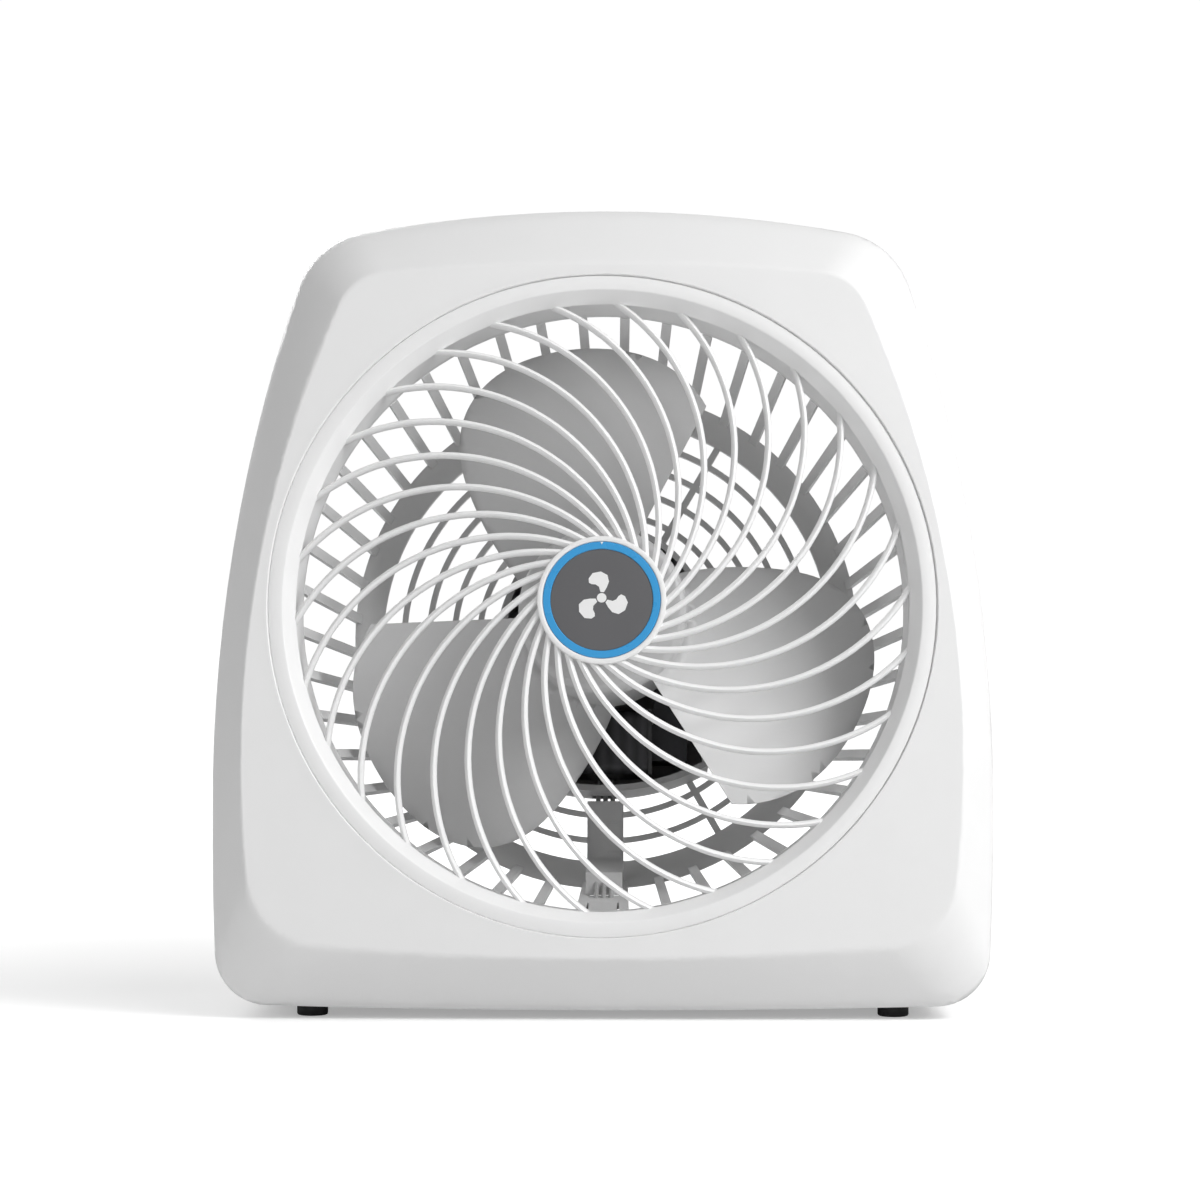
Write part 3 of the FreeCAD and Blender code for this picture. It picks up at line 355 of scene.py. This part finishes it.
finishes = {
    "housing_plastic": plastic("housingPlastic", (0.82, 0.82, 0.82), 0.38, 0.35, dust=0.04),
    "grille_plastic": plastic("grillePlastic", (0.84, 0.84, 0.84), 0.36, 0.25, dust=0.08),
    "badge_blue": plastic("badgeBlue", (0.045, 0.33, 0.68), 0.28, 0.15, coat=0.3),
    "badge_grey": plastic("badgeGrey", (0.12, 0.12, 0.125), 0.42, 0.4, scale=3400.0),
    "rear_plastic": plastic("rearPlastic", (0.74, 0.74, 0.74), 0.44, 0.5, dust=0.12),
    "blade_plastic": plastic("bladePlastic", (0.60, 0.60, 0.602), 0.40, 0.3, dust=0.18, variation=0.05),
    "cradle_plastic": plastic("cradlePlastic", (0.38, 0.38, 0.382), 0.45, 0.5, dust=0.15),
    "core_steel": metal("coreSteel", (0.045, 0.045, 0.05), 0.5, metallic=0.4),
    "bobbin_plastic": plastic("bobbinPlastic", (0.05, 0.05, 0.052), 0.4, 0.3),
    "coil_tape": plastic("coilTape", (0.022, 0.022, 0.024), 0.5, 0.2, variation=0.3),
    "copper": metal("copperRing", (0.72, 0.36, 0.20), 0.32),
    "bracket_alloy": metal("bracketAlloy", (0.60, 0.61, 0.62), 0.42, scale=1400.0, marks=1.0),
    "bronze": metal("sinteredBronze", (0.46, 0.31, 0.16), 0.5, scale=5200.0, marks=1.2),
    "felt": plastic("oilFelt", (0.42, 0.36, 0.27), 0.9, 1.4, scale=1500.0, variation=0.35),
    "washer_plastic": plastic("washerPlastic", (0.70, 0.66, 0.54), 0.4, 0.2),
    "rotor_steel": metal("rotorSteel", (0.42, 0.42, 0.43), 0.34, (1, 0.08, 1)),
    "shaft_steel": metal("shaftSteel", (0.66, 0.67, 0.68), 0.18, (1, 9, 1), 500.0, 0.3),
    "screw_steel": metal("screwSteel", (0.62, 0.63, 0.64), 0.28, (1, 1, 1), 1800.0, 0.4),
    "switch_plastic": plastic("switchPlastic", (0.035, 0.035, 0.037), 0.38, 0.3),
    "knob_plastic": plastic("knobPlastic", (0.78, 0.78, 0.78), 0.34, 0.3, dust=0.06),
    "grommet_plastic": plastic("grommetPlastic", (0.07, 0.07, 0.072), 0.5, 0.5),
    "wire_pvc": plastic("wirePvc", (0.52, 0.52, 0.52), 0.3, 0.1, level=0.6),
    "splice_plastic": plastic("splicePlastic", (0.72, 0.72, 0.68), 0.32, 0.2),
    "rubber": plastic("footRubber", (0.022, 0.022, 0.023), 0.72, 0.9, scale=1800.0, dust=0.2),
}
addRidges(finishes["core_steel"], (0.012, 0.012, 0.013), 0.0005, 0.00006, (lean, 0, 0))
addRidges(finishes["coil_tape"], (0.045, 0.045, 0.05), 0.004, 0.0003, (0, 0, quarter))
slotOf = {row["node"]: row["material_slot"] for row in frame["record"]["subparts"]}
for nodeName, node in frame["nodes"].items():
    node.data.materials.clear()
    node.data.materials.append(finishes[slotOf[nodeName]])
print("finishes", len(finishes))


# Making pieces: sizes in millimetres, in the fan's own directions or standing on the table

tiny = 0.001 * mm  # points nearer than this are one
white, steel, dark = "grille_plastic", "screw_steel", "badge_grey"


def onlySelect(*chosen):
    bpy.ops.object.select_all(action="DESELECT")
    for piece in chosen:
        piece.select_set(True)
    bpy.context.view_layer.objects.active = chosen[0]


def freeze(piece):  # its place goes into its mesh
    onlySelect(piece)
    bpy.ops.object.transform_apply(location=True, rotation=True, scale=True)
    return piece


def addPiece(shape, name, **sizes):
    bpy.ops.object.select_all(action="DESELECT")
    getattr(bpy.ops.mesh, "primitive_" + shape + "_add")(**sizes)
    piece = bpy.context.object
    piece.name = name
    return freeze(piece)


def selectFaces(piece, wanted):  # leaves edit mode on, with the faces picked by centre and normal
    onlySelect(piece)
    bpy.ops.object.mode_set(mode="EDIT")
    bpy.ops.mesh.select_mode(type="FACE")
    bpy.ops.mesh.select_all(action="DESELECT")
    bpy.ops.object.mode_set(mode="OBJECT")
    for face in piece.data.polygons:
        face.select = wanted(face.center / mm, face.normal)
    bpy.ops.object.mode_set(mode="EDIT")


def rounded(piece, width, segments=3, angle=30.0):
    bevel = piece.modifiers.new("edges", "BEVEL")
    bevel.width = width * mm
    bevel.segments = segments
    bevel.limit_method = "ANGLE"
    bevel.angle_limit = math.radians(angle)
    onlySelect(piece)
    bpy.ops.object.modifier_apply(modifier=bevel.name)
    return piece


def drawLine(name, points):  # a chain of edges, drawn by extruding one point
    addPiece("plane", name, size=mm)
    piece = bpy.context.object
    bpy.ops.object.mode_set(mode="EDIT")
    bpy.ops.mesh.select_mode(type="VERT")
    bpy.ops.mesh.select_all(action="SELECT")
    bpy.ops.mesh.merge(type="CENTER")
    bpy.ops.transform.translate(value=Vector(points[0]) * mm)
    for here, there in zip(points, points[1:]):
        step = (Vector(there) - Vector(here)) * mm
        bpy.ops.mesh.extrude_vertices_move(TRANSFORM_OT_translate={"value": step})
    return piece


def turned(name, profile, steps=64, axis=(0, 1, 0)):  # profile of radius and depth, spun about the axis
    points = [Vector((r, 0, 0)) + Vector(axis) * depth for r, depth in profile]
    piece = drawLine(name, points)
    bpy.ops.mesh.select_all(action="SELECT")
    bpy.ops.mesh.spin(steps=steps, angle=math.tau, center=(0, 0, 0), axis=axis)
    bpy.ops.mesh.select_all(action="SELECT")
    bpy.ops.mesh.remove_doubles(threshold=tiny)
    bpy.ops.mesh.normals_make_consistent(inside=False)
    bpy.ops.object.mode_set(mode="OBJECT")
    return piece


def filledOutline(name, points, thick):  # a flat outline across the axis, thickened towards the front
    piece = drawLine(name, points + [points[0]])
    bpy.ops.mesh.select_all(action="SELECT")
    bpy.ops.mesh.remove_doubles(threshold=tiny)
    bpy.ops.mesh.select_all(action="SELECT")
    bpy.ops.mesh.edge_face_add()
    bpy.ops.mesh.extrude_region_move(TRANSFORM_OT_translate={"value": (0, -thick * mm, 0)})
    bpy.ops.mesh.select_all(action="SELECT")
    bpy.ops.mesh.normals_make_consistent(inside=False)
    bpy.ops.object.mode_set(mode="OBJECT")
    return piece


def copied(piece, name):
    twin = bpy.data.objects.new(name, piece.data.copy())
    bpy.context.scene.collection.objects.link(twin)
    return twin


def placed(piece, place=(0, 0, 0), turn=(0, 0, 0)):  # millimetres, then frozen
    piece.rotation_euler = turn
    piece.location = Vector(place) * mm
    return freeze(piece)


def intoFan(piece):  # from the fan's own directions to where it leans on the table
    piece.rotation_euler = (-lean, 0, 0)
    piece.location = axisPoint
    return freeze(piece)


def merged(name, group):
    onlySelect(*group)
    bpy.ops.object.join()
    piece = bpy.context.object
    piece.name = name
    return piece


def carved(piece, cutter):
    cut = piece.modifiers.new("cut", "BOOLEAN")
    cut.operation = "DIFFERENCE"
    cut.solver = "EXACT"
    cut.object = cutter
    onlySelect(piece)
    bpy.ops.object.modifier_apply(modifier=cut.name)
    bpy.data.objects.remove(cutter)
    return piece


def around(piece, count):  # the piece and its copies, evenly round the axis
    row = [piece]
    for number in range(1, count):
        row.append(placed(copied(piece, piece.name), turn=(0, math.tau * number / count, 0)))
    return row


def slab(name, across, deep, high, edge, segments=2):  # a block with its edges rounded
    block = addPiece("cube", name, size=1)
    block.scale = Vector((across, deep, high)) * mm
    freeze(block)
    return rounded(block, edge, segments)


def finished(piece, body, slotName, *stoodFor, angle=35.0):
    onlySelect(piece)
    bpy.ops.object.shade_smooth_by_angle(angle=math.radians(angle))
    piece.data.materials.clear()
    piece.data.materials.append(finishes[slotName])
    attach(piece, body)
    if stoodFor:
        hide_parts(*stoodFor)
    return piece


def polarSpot(angle, r, depth):
    way = math.radians(angle)
    return (r * math.cos(way), depth, r * math.sin(way))


# Badge: a domed disc and a coloured ring let into the grille hub, with a plain three-blade mark

badge = {"disc": 16.0, "ringIn": 16.04, "ringOut": 18.38, "floor": -3.4, "front": -4.72, "dome": 0.12,
         "ringFront": -4.9, "steps": 96}
badgeMark = {"hub": 1.5, "thick": 0.16, "sunk": 0.04, "rise": 0.6, "notch": 0.55, "notchDeep": 0.3,
             "notchAt": 18.0, "turns": (90, 210, 330)}
bladeMark = [(1.9, -22), (3.6, -26), (5.6, -24), (7.4, -14), (8.3, 2), (8.3, 20), (7.3, 34), (6.2, 40),
             (5.3, 36), (4.6, 24), (3.6, 14), (1.9, 12)]  # radius and angle round one blade of the mark


def makeBadge():
    edge, face = badge["disc"], badge["front"]
    dome = [(edge * share, face - badge["dome"] * (1 - share * share)) for share in (0.9, 0.6, 0.3, 0.0)]
    disc = turned("badgeDisc", [(0.0, badge["floor"]), (edge, badge["floor"]), (edge, face + 0.2),
                                (edge - 0.08, face + 0.06)] + dome, badge["steps"])
    finished(intoFan(disc), "housing", "badge_grey", "badge_disc")
    inner, outer, lip = badge["ringIn"], badge["ringOut"], badge["ringFront"]
    ring = turned("badgeRing", [(inner, badge["floor"]), (outer, badge["floor"]), (outer, lip + 0.2),
                                (outer - 0.2, lip), (inner + 0.2, lip), (inner, lip + 0.2),
                                (inner, badge["floor"])], badge["steps"])
    finished(intoFan(ring), "housing", "badge_blue", "badge_ring")
    blades = []
    for turn in badgeMark["turns"]:
        points = [polarSpot(angle + turn, r, 0.0) for r, angle in bladeMark]
        blades.append(filledOutline("markBlade", points, badgeMark["thick"]))
    hub = turned("markHub", [(0, 0), (badgeMark["hub"], 0), (badgeMark["hub"], -badgeMark["thick"]),
                             (0, -badgeMark["thick"])], 40)
    mark = merged("badgeMark", [hub] + blades)
    placed(mark, (0, face - badge["dome"] + badgeMark["sunk"], badgeMark["rise"]))
    finished(intoFan(mark), "housing", white)
    notch = addPiece("cylinder", "badgeNotch", vertices=3, radius=badgeMark["notch"] * mm,
                     depth=badgeMark["notchDeep"] * mm, rotation=(quarter, math.pi, 0))
    rounded(notch, 0.08, 2)
    placed(notch, (0, lip, badgeMark["notchAt"]))
    finished(intoFan(notch), "housing", white)
    print("badge")


makeBadge()


# Front bars: oval bars in one spiral sweep, running in behind the rim

bars = {"count": 30, "wide": 1.08, "deep": 1.6, "sink": 2.3, "sinkFrom": 78.0, "end": 97.3, "smooth": 3,
        "round": 3}
barLine = [(19.4, -3.4, -2.6), (26.18, 11.7, -2.1), (33.44, 22.03, -1.55), (40.82, 30.02, -0.96),
           (48.17, 36.73, -0.34), (55.39, 42.68, 0.31), (62.43, 48.14, 0.96), (69.23, 53.28, 1.6),
           (75.75, 58.19, 2.24), (81.95, 62.93, 2.84), (87.82, 67.54, 3.41), (93.31, 72.06, 3.93),
           (97.3, 75.5, 4.3)]  # radius, angle, depth along a bar's middle


def makeBars():
    points = []
    for r, angle, depth in barLine:
        share = max(0.0, (r - bars["sinkFrom"]) / (bars["end"] - bars["sinkFrom"]))
        points.append(polarSpot(angle, r, depth + bars["sink"] * share * share))
    bpy.ops.object.select_all(action="DESELECT")
    bpy.ops.curve.primitive_bezier_curve_add()
    path = bpy.context.object
    path.data.splines.clear()
    spline = path.data.splines.new("BEZIER")
    spline.bezier_points.add(len(points) - 1)
    for knot, place in zip(spline.bezier_points, points):
        knot.co = Vector(place) * mm
        knot.handle_left_type = knot.handle_right_type = "AUTO"
    path.data.resolution_u = bars["smooth"]
    path.data.bevel_depth = bars["wide"] * mm
    path.data.bevel_resolution = bars["round"]
    path.data.use_fill_caps = True
    onlySelect(path)
    bpy.ops.object.convert(target="MESH")
    bar = freeze(bpy.context.object)
    bar.name = "frontBar"
    deepen(bar, points, bars["deep"] / bars["wide"])
    whole = merged("frontBars", around(bar, bars["count"]))
    finished(intoFan(whole), "housing", white, "grille_bars", angle=50)
    print("front bars", bars["count"])


def deepen(bar, points, ratio):  # a round bar made oval along the fan's axis, about its own middle line
    line = [Vector(point) * mm for point in points]
    for vertex in bar.data.vertices:
        r = math.hypot(vertex.co.x, vertex.co.z)
        for here, there in zip(line, line[1:]):
            near, far = math.hypot(here.x, here.z), math.hypot(there.x, there.z)
            if r <= far or there == line[-1]:
                share = (r - near) / (far - near)
                middle = here.y + (there.y - here.y) * share
                break
        vertex.co.y = middle + (vertex.co.y - middle) * ratio


makeBars()


# Screws: a pan head with a cross recess on a ridged shank, modelled once for each length

screw = {"head": 2.9, "high": 2.0, "recess": 1.3, "armLong": 3.5, "armWide": 0.75, "pitch": 1.0,
         "thread": 0.16, "plain": 0.8, "tip": 1.2}
sizes = {"long": (1.3, 16.0), "short": (1.3, 12.5), "plate": (1.3, 4.4), "through": (1.5, 29.5)}
posts = [(38.8, 124.5), (141.2, 124.5), (213.4, 127.0), (326.6, 127.0)]  # angle and radius of the screws
grillePosts = [(40.0, 111.5), (140.0, 111.5), (220.0, 111.5), (320.0, 111.5)]
screwSpots = {  # node: piece, kind, whether it has a thread, places of its heads, whether they look forwards
    "housing_screws": ("housingScrews", "long", True, [polarSpot(*post, 45.0) for post in posts], False),
    "grille_screws": ("grilleScrews", "short", True, [polarSpot(*post, 19.0) for post in grillePosts], False),
    "cradle_screws": ("cradleScrews", "plate", False, [(x, 89.6, 12.0) for x in (-25.99, 25.99)], False),
    "motor_screws": ("motorScrews", "through", True, [(x, 57.0, 0.0) for x in (-21.0, 21.0)], True),
}


def makeScrew(name, shank, length, threaded):  # head on +Y, its underside at zero
    head, high = screw["head"], screw["high"]
    profile = [(0.0, high), (head * 0.45, high - 0.05), (head * 0.8, high - 0.35),
               (head * 0.97, high - 0.95), (head, high - 1.3), (head, 0.12), (head - 0.12, 0.0), (shank, 0.0)]
    depth = -screw["plain"]
    while threaded and depth > screw["tip"] - length:
        profile += [(shank, depth), (shank + screw["thread"], depth - screw["pitch"] * 0.5)]
        depth -= screw["pitch"]
    profile += [(shank, depth), (shank, -length + 0.4), (shank * 0.6, -length), (0.0, -length)]
    piece = turned(name, profile, 32)
    arms = []
    for turn in (0, 90):
        arm = addPiece("cube", "recessArm", size=1)
        arm.scale = (screw["armLong"] * mm, screw["recess"] * 2 * mm, screw["armWide"] * mm)
        placed(arm)
        selectFaces(arm, lambda centre, normal: normal.y < -0.9)
        bpy.ops.transform.resize(value=(0.5, 1, 0.6))
        bpy.ops.object.mode_set(mode="OBJECT")
        arms.append(placed(arm, turn=(0, math.radians(turn), 0)))
    for arm in arms:
        placed(arm, (0, high + 0.05, 0))
        carved(piece, arm)
    return piece


def makeScrews():
    for node, (name, kind, threaded, spots, forwards) in screwSpots.items():
        master = makeScrew(kind + "Screw", *sizes[kind], threaded)
        row = []
        for number, place in enumerate(spots):
            twist = math.radians(17 + 41 * number)  # no two recesses stand alike
            one = placed(copied(master, name), turn=(0, twist, 0))
            row.append(placed(one, place, (0, 0, math.pi if forwards else 0)))
        finished(intoFan(merged(name, row)), "housing", steel, node)
        bpy.data.objects.remove(master)
    print("screws", len(screwSpots))


makeScrews()


# Speed knob: a skirt with grip flutes, a bar to hold and a dark pointer line

knob = {"skirt": 13.0, "top": 11.5, "front": 5.8, "bore": 3.0, "steps": 96}
grip = {"half": 3.6, "long": 11.0, "front": 3.0, "back": 11.0, "taper": (0.88, 1, 0.94), "edge": 1.1}
flutes = {"count": 36, "r": 0.42, "long": 3.4, "middle": -0.45, "sunk": 0.02}
pointer = {"wide": 0.9, "deep": 0.4, "long": 7.0, "rise": 5.2, "sunk": 0.16}


def makeKnob():
    skirt, top, seat, bore = knob["skirt"], knob["top"], knob["front"], knob["bore"]
    body = turned("knobSkirt", [
        (bore, seat), (skirt - 2.5, seat), (skirt - 2.5, seat - 2.8), (skirt - 0.3, seat - 2.8),
        (skirt - 0.1, seat - 2.5), (skirt - 0.1, seat + 1.6), (skirt - 0.5, seat + 2.0),
        (top + 0.2, seat + 2.1), (top, seat + 2.4), (top, seat + 3.5), (top - 0.5, seat + 4.0),
        (4.0, seat + 4.15), (0.0, seat + 4.2), (0.0, seat + 3.2), (bore, seat + 3.2), (bore, seat)],
        knob["steps"])
    flute = addPiece("cylinder", "knobFlute", vertices=12, radius=flutes["r"] * mm,
                     depth=flutes["long"] * mm, rotation=(quarter, 0, 0))
    rounded(flute, 0.15, 2)
    placed(flute, (skirt - flutes["r"] - flutes["sunk"], seat + flutes["middle"], 0))
    high = grip["back"] - grip["front"]
    bar = addPiece("cube", "knobBar", size=1)
    bar.scale = Vector((grip["half"] * 2, high, grip["long"] * 2)) * mm
    freeze(bar)
    placed(bar, (0, seat + grip["front"] + high / 2, 0))
    selectFaces(bar, lambda centre, normal: normal.y > 0.9)
    bpy.ops.transform.resize(value=grip["taper"])
    bpy.ops.object.mode_set(mode="OBJECT")
    rounded(bar, grip["edge"], 4)
    line = slab("knobPointer", pointer["wide"], pointer["deep"], pointer["long"], 0.12)
    placed(line, (0, seat + grip["back"] - pointer["sunk"], pointer["rise"]))
    whole = merged("knobGrip", [body, bar] + around(flute, flutes["count"]))
    finished(placed(whole, dial), "knob", "knob_plastic", "speed_knob")
    finished(placed(line, dial), "knob", dark)
    print("speed knob")


makeKnob()


# Dial marks on the back panel: off at the top, then two speeds

marks = {"tick": 14.6, "tickLong": 2.2, "tickWide": 0.7, "figure": 20.0, "size": 5.0, "raised": 0.18,
         "proud": 0.07}
speeds = [("0", 0.0), ("1", 45.0), ("2", 90.0)]  # figure and angle from the top


def makeDial():
    row = []
    for figure, angle in speeds:
        way = math.radians(angle)
        across, rise = -math.sin(way), math.cos(way)
        tick = slab("dialTick", marks["tickWide"], marks["raised"], marks["tickLong"], 0.05, 1)
        placed(tick, turn=(0, -way, 0))
        middle = marks["tick"] + marks["tickLong"] / 2
        row.append(placed(tick, dial + Vector((across * middle, marks["proud"], rise * middle))))
        bpy.ops.object.select_all(action="DESELECT")
        bpy.ops.object.text_add()
        text = bpy.context.object
        text.data.body = figure
        text.data.size = marks["size"] * mm
        text.data.align_x, text.data.align_y = "CENTER", "CENTER"
        text.data.extrude = marks["raised"] * 0.5 * mm
        onlySelect(text)
        bpy.ops.object.convert(target="MESH")
        text = bpy.context.object
        far = marks["figure"]
        place = dial + Vector((across * far, marks["proud"], rise * far))
        row.append(placed(text, place, (quarter, 0, math.pi)))
    finished(merged("dialMarks", row), "housing", dark)
    print("dial marks")


makeDial()


# Rubber feet: domed pads with two grip grooves, on a stem that snaps into the base

foot = {"steps": 48, "r": 4.9, "high": 5.0, "stem": 2.0, "snap": 3.0, "snapAt": 8.7, "top": 10.2,
        "across": 91.7}
footRows = {"front_feet": "frontFeet", "rear_feet": "rearFeet"}


def makeFeet():
    r, high, stem = foot["r"], foot["high"], foot["stem"]
    profile = [(0.0, 0.25), (1.6, 0.25), (1.7, 0.0), (2.5, 0.0), (2.6, 0.25), (3.2, 0.25), (3.3, 0.0),
               (4.3, 0.0), (4.7, 0.18), (r, 0.6), (r, high - 0.4), (r - 0.3, high), (stem, high),
               (stem, foot["snapAt"]), (foot["snap"], foot["snapAt"]), (foot["snap"], foot["snapAt"] + 0.5),
               (stem, foot["top"]), (0.0, foot["top"])]
    master = turned("footPad", profile, foot["steps"], (0, 0, 1))
    for node, name in footRows.items():
        low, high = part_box(node)
        middle = (low[1] + high[1]) / 2 / mm
        row = [placed(copied(master, name), (side * foot["across"], middle, 0)) for side in (-1, 1)]
        finished(merged(name, row), "housing", "rubber", node)
    bpy.data.objects.remove(master)
    print("feet")


makeFeet()


# Cord inlet: a ribbed grommet in the back panel

inlet = {"bore": 3.0, "neck": 5.2, "flange": 7.5, "front": -4.5, "panelIn": -2.5, "across": -90.0}


def makeInlet():
    bore, neck, flange = inlet["bore"], inlet["neck"], inlet["flange"]
    front, panelIn = inlet["front"], inlet["panelIn"]
    profile = [(bore, front + 0.3), (bore + 0.3, front), (neck + 0.8, front), (neck + 1.0, front + 0.3),
               (neck + 1.0, panelIn - 0.1), (neck, panelIn), (neck, 0.05), (flange, 0.05), (flange, 1.2),
               (flange - 0.5, 1.7), (flange - 1.0, 1.7), (flange - 1.1, 1.35), (flange - 1.5, 1.35),
               (flange - 1.6, 2.1), (flange - 2.1, 2.1), (flange - 2.2, 1.8), (flange - 2.6, 1.8),
               (flange - 2.8, 2.45), (bore + 0.35, 2.5), (bore, 2.15)]
    grommet = turned("cordGrommet", profile + [profile[0]], 64)
    place = Vector((inlet["across"], dial.y, dial.z))
    finished(placed(grommet, place), "housing", "grommet_plastic", "cord_inlet")
    print("cord inlet")


makeInlet()


# Turned mouldings: grille rim, hub and the wide ring at the back

rings = {
    "grille_rim": ("grilleRim", white, [
        (105.0, 0.75), (105.0, 6.0), (96.6, 6.0), (96.6, 5.3), (96.75, 5.05), (97.2, 4.45), (100.1, 0.6),
        (100.35, 0.32), (100.7, 0.22), (104.3, 0.2), (104.8, 0.36)]),
    "grille_hub": ("grilleHub", white, [
        (0.0, -3.4), (18.5, -3.4), (18.5, -4.7), (18.62, -4.9), (18.9, -5.0), (19.7, -5.0), (20.05, -4.87),
        (20.2, -4.5), (20.2, -0.9), (20.05, -0.6), (19.8, -0.5), (0.0, -0.5)]),
    "rear_band": ("rearBand", "rear_plastic", [
        (84.6, 83.05), (84.6, 85.3), (84.3, 85.8), (82.4, 87.9), (81.9, 88.05), (75.6, 90.0), (75.42, 89.8),
        (75.42, 87.35), (75.6, 87.15), (79.7, 84.15), (82.3, 83.05)]),
}


def makeRings():
    for node, (name, slotName, profile) in rings.items():
        closed = profile + profile[:1] if profile[0][0] > 0 else profile
        piece = turned(name, closed, 128)
        finished(intoFan(piece), "housing", slotName, node, angle=42)
    print("turned mouldings", len(rings))


makeRings()


# Strip that carries the leads from the end of the trunking out through the slats

leadStrip = {"half": 5.9, "thick": 2.2, "front": 35.6, "back": 51.4}
slatLine = {"depth": 19.0, "r": 96.4, "slope": 12.9 / 64.0}  # where the slats start and how they close in
leadCap = {"depth": 51.2, "thick": 1.0, "high": 7.4, "rise": -85.0}
grooves = {"across": 2.7, "wide": 3.3, "deep": 0.6, "high": 0.96, "depth": 76.8, "rises": (-63.0, -73.0)}


def slatRadius(depth):
    return slatLine["r"] - (depth - slatLine["depth"]) * slatLine["slope"]


def makeLeadStrip():
    front, back = leadStrip["front"], leadStrip["back"]
    long = math.hypot(back - front, slatRadius(front) - slatRadius(back))
    strip = slab("leadStrip", leadStrip["half"] * 2, long, leadStrip["thick"], 0.3)
    middle = (front + back) / 2
    placed(strip, (0, middle, -slatRadius(middle)), (math.atan(slatLine["slope"]), 0, 0))
    cap = slab("leadCap", leadStrip["half"] * 2, leadCap["thick"], leadCap["high"], 0.2)
    placed(cap, (0, leadCap["depth"], leadCap["rise"]))
    fillers = []
    for rise in grooves["rises"]:  # floors of the shallow grooves in the trunking
        filler = slab("leadGroove", grooves["wide"], grooves["deep"], grooves["high"], 0.05, 1)
        fillers.append(placed(filler, (grooves["across"], grooves["depth"], rise)))
    finished(intoFan(merged("leadStrip", [strip, cap] + fillers)), "housing", "rear_plastic")
    print("lead strip")


makeLeadStrip()


# Spinner nut: a round cap with finger ribs that holds the impeller on its shaft

spinner = {"cap": 5.0, "skirt": 7.0, "front": 7.8, "cone": 11.0, "seat": 16.98, "bore": 2.02, "boreEnd": 8.9,
           "ribs": 12, "rib": 0.45, "ribLong": 3.0, "ribSunk": 0.15, "ribAt": 3.2}


def makeSpinner():
    cap, front = spinner["cap"], spinner["front"]
    nut = turned("spinnerCap", [
        (0.0, front), (cap - 1.6, front + 0.05), (cap - 0.6, front + 0.45), (cap - 0.1, front + 1.4),
        (cap, spinner["cone"]), (spinner["skirt"] - 0.2, 14.3), (spinner["skirt"], 14.6),
        (spinner["skirt"], spinner["seat"]), (spinner["bore"], spinner["seat"]),
        (spinner["bore"], spinner["boreEnd"]), (0.0, spinner["boreEnd"])], 64)
    rib = addPiece("cylinder", "spinnerRib", vertices=10, radius=spinner["rib"] * mm,
                   depth=spinner["ribLong"] * mm, rotation=(quarter, 0, 0))
    rounded(rib, 0.15, 2)
    placed(rib, (cap - spinner["ribSunk"], front + spinner["ribAt"], 0))
    whole = merged("spinnerGrip", [nut] + around(rib, spinner["ribs"]))
    finished(intoFan(whole), "fan_rotor", "blade_plastic", "spinner_nut")
    print("spinner")


makeSpinner()


# Smooth copies of the moulded and turned pieces

smoothing = {"angle": 32.0, "merge": 0.002, "flat": 0.4, "weight": 100}
flatFaced = {"front_housing", "rear_housing", "rear_rings", "wire_channel", "motor_cradle"}
members = frame["record"]["behaviour"]["bodies"]
bodyOf = {nodeName: body for body, nodeNames in members.items() for nodeName in nodeNames}


def smoothCopy(nodeName):
    piece = bpy.data.objects.new(nodeName + "_smooth", frame["nodes"][nodeName].data.copy())
    bpy.context.scene.collection.objects.link(piece)
    onlySelect(piece)
    bpy.ops.object.mode_set(mode="EDIT")
    bpy.ops.mesh.select_all(action="SELECT")
    bpy.ops.mesh.remove_doubles(threshold=smoothing["merge"] * mm)
    if nodeName in flatFaced:  # one face for each flat, so that it shades evenly round its holes
        bpy.ops.mesh.dissolve_limited(angle_limit=math.radians(smoothing["flat"]))
    bpy.ops.object.mode_set(mode="OBJECT")
    bpy.ops.object.shade_smooth_by_angle(angle=math.radians(smoothing["angle"]))
    even = piece.modifiers.new("even", "WEIGHTED_NORMAL")
    even.weight = smoothing["weight"]
    even.keep_sharp = True
    bpy.ops.object.modifier_apply(modifier=even.name)
    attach(piece, bodyOf[nodeName])
    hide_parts(nodeName)


remade = {"badge_disc", "badge_ring", "grille_rim", "grille_hub", "rear_band", "cradle_screws",
          "motor_screws", "grille_bars", "housing_screws", "grille_screws", "speed_knob", "front_feet",
          "rear_feet", "cord_inlet", "spinner_nut"}
for nodeName in frame["nodes"]:
    if nodeName not in remade:
        smoothCopy(nodeName)
print("smooth copies", len(frame["nodes"]) - len(remade))
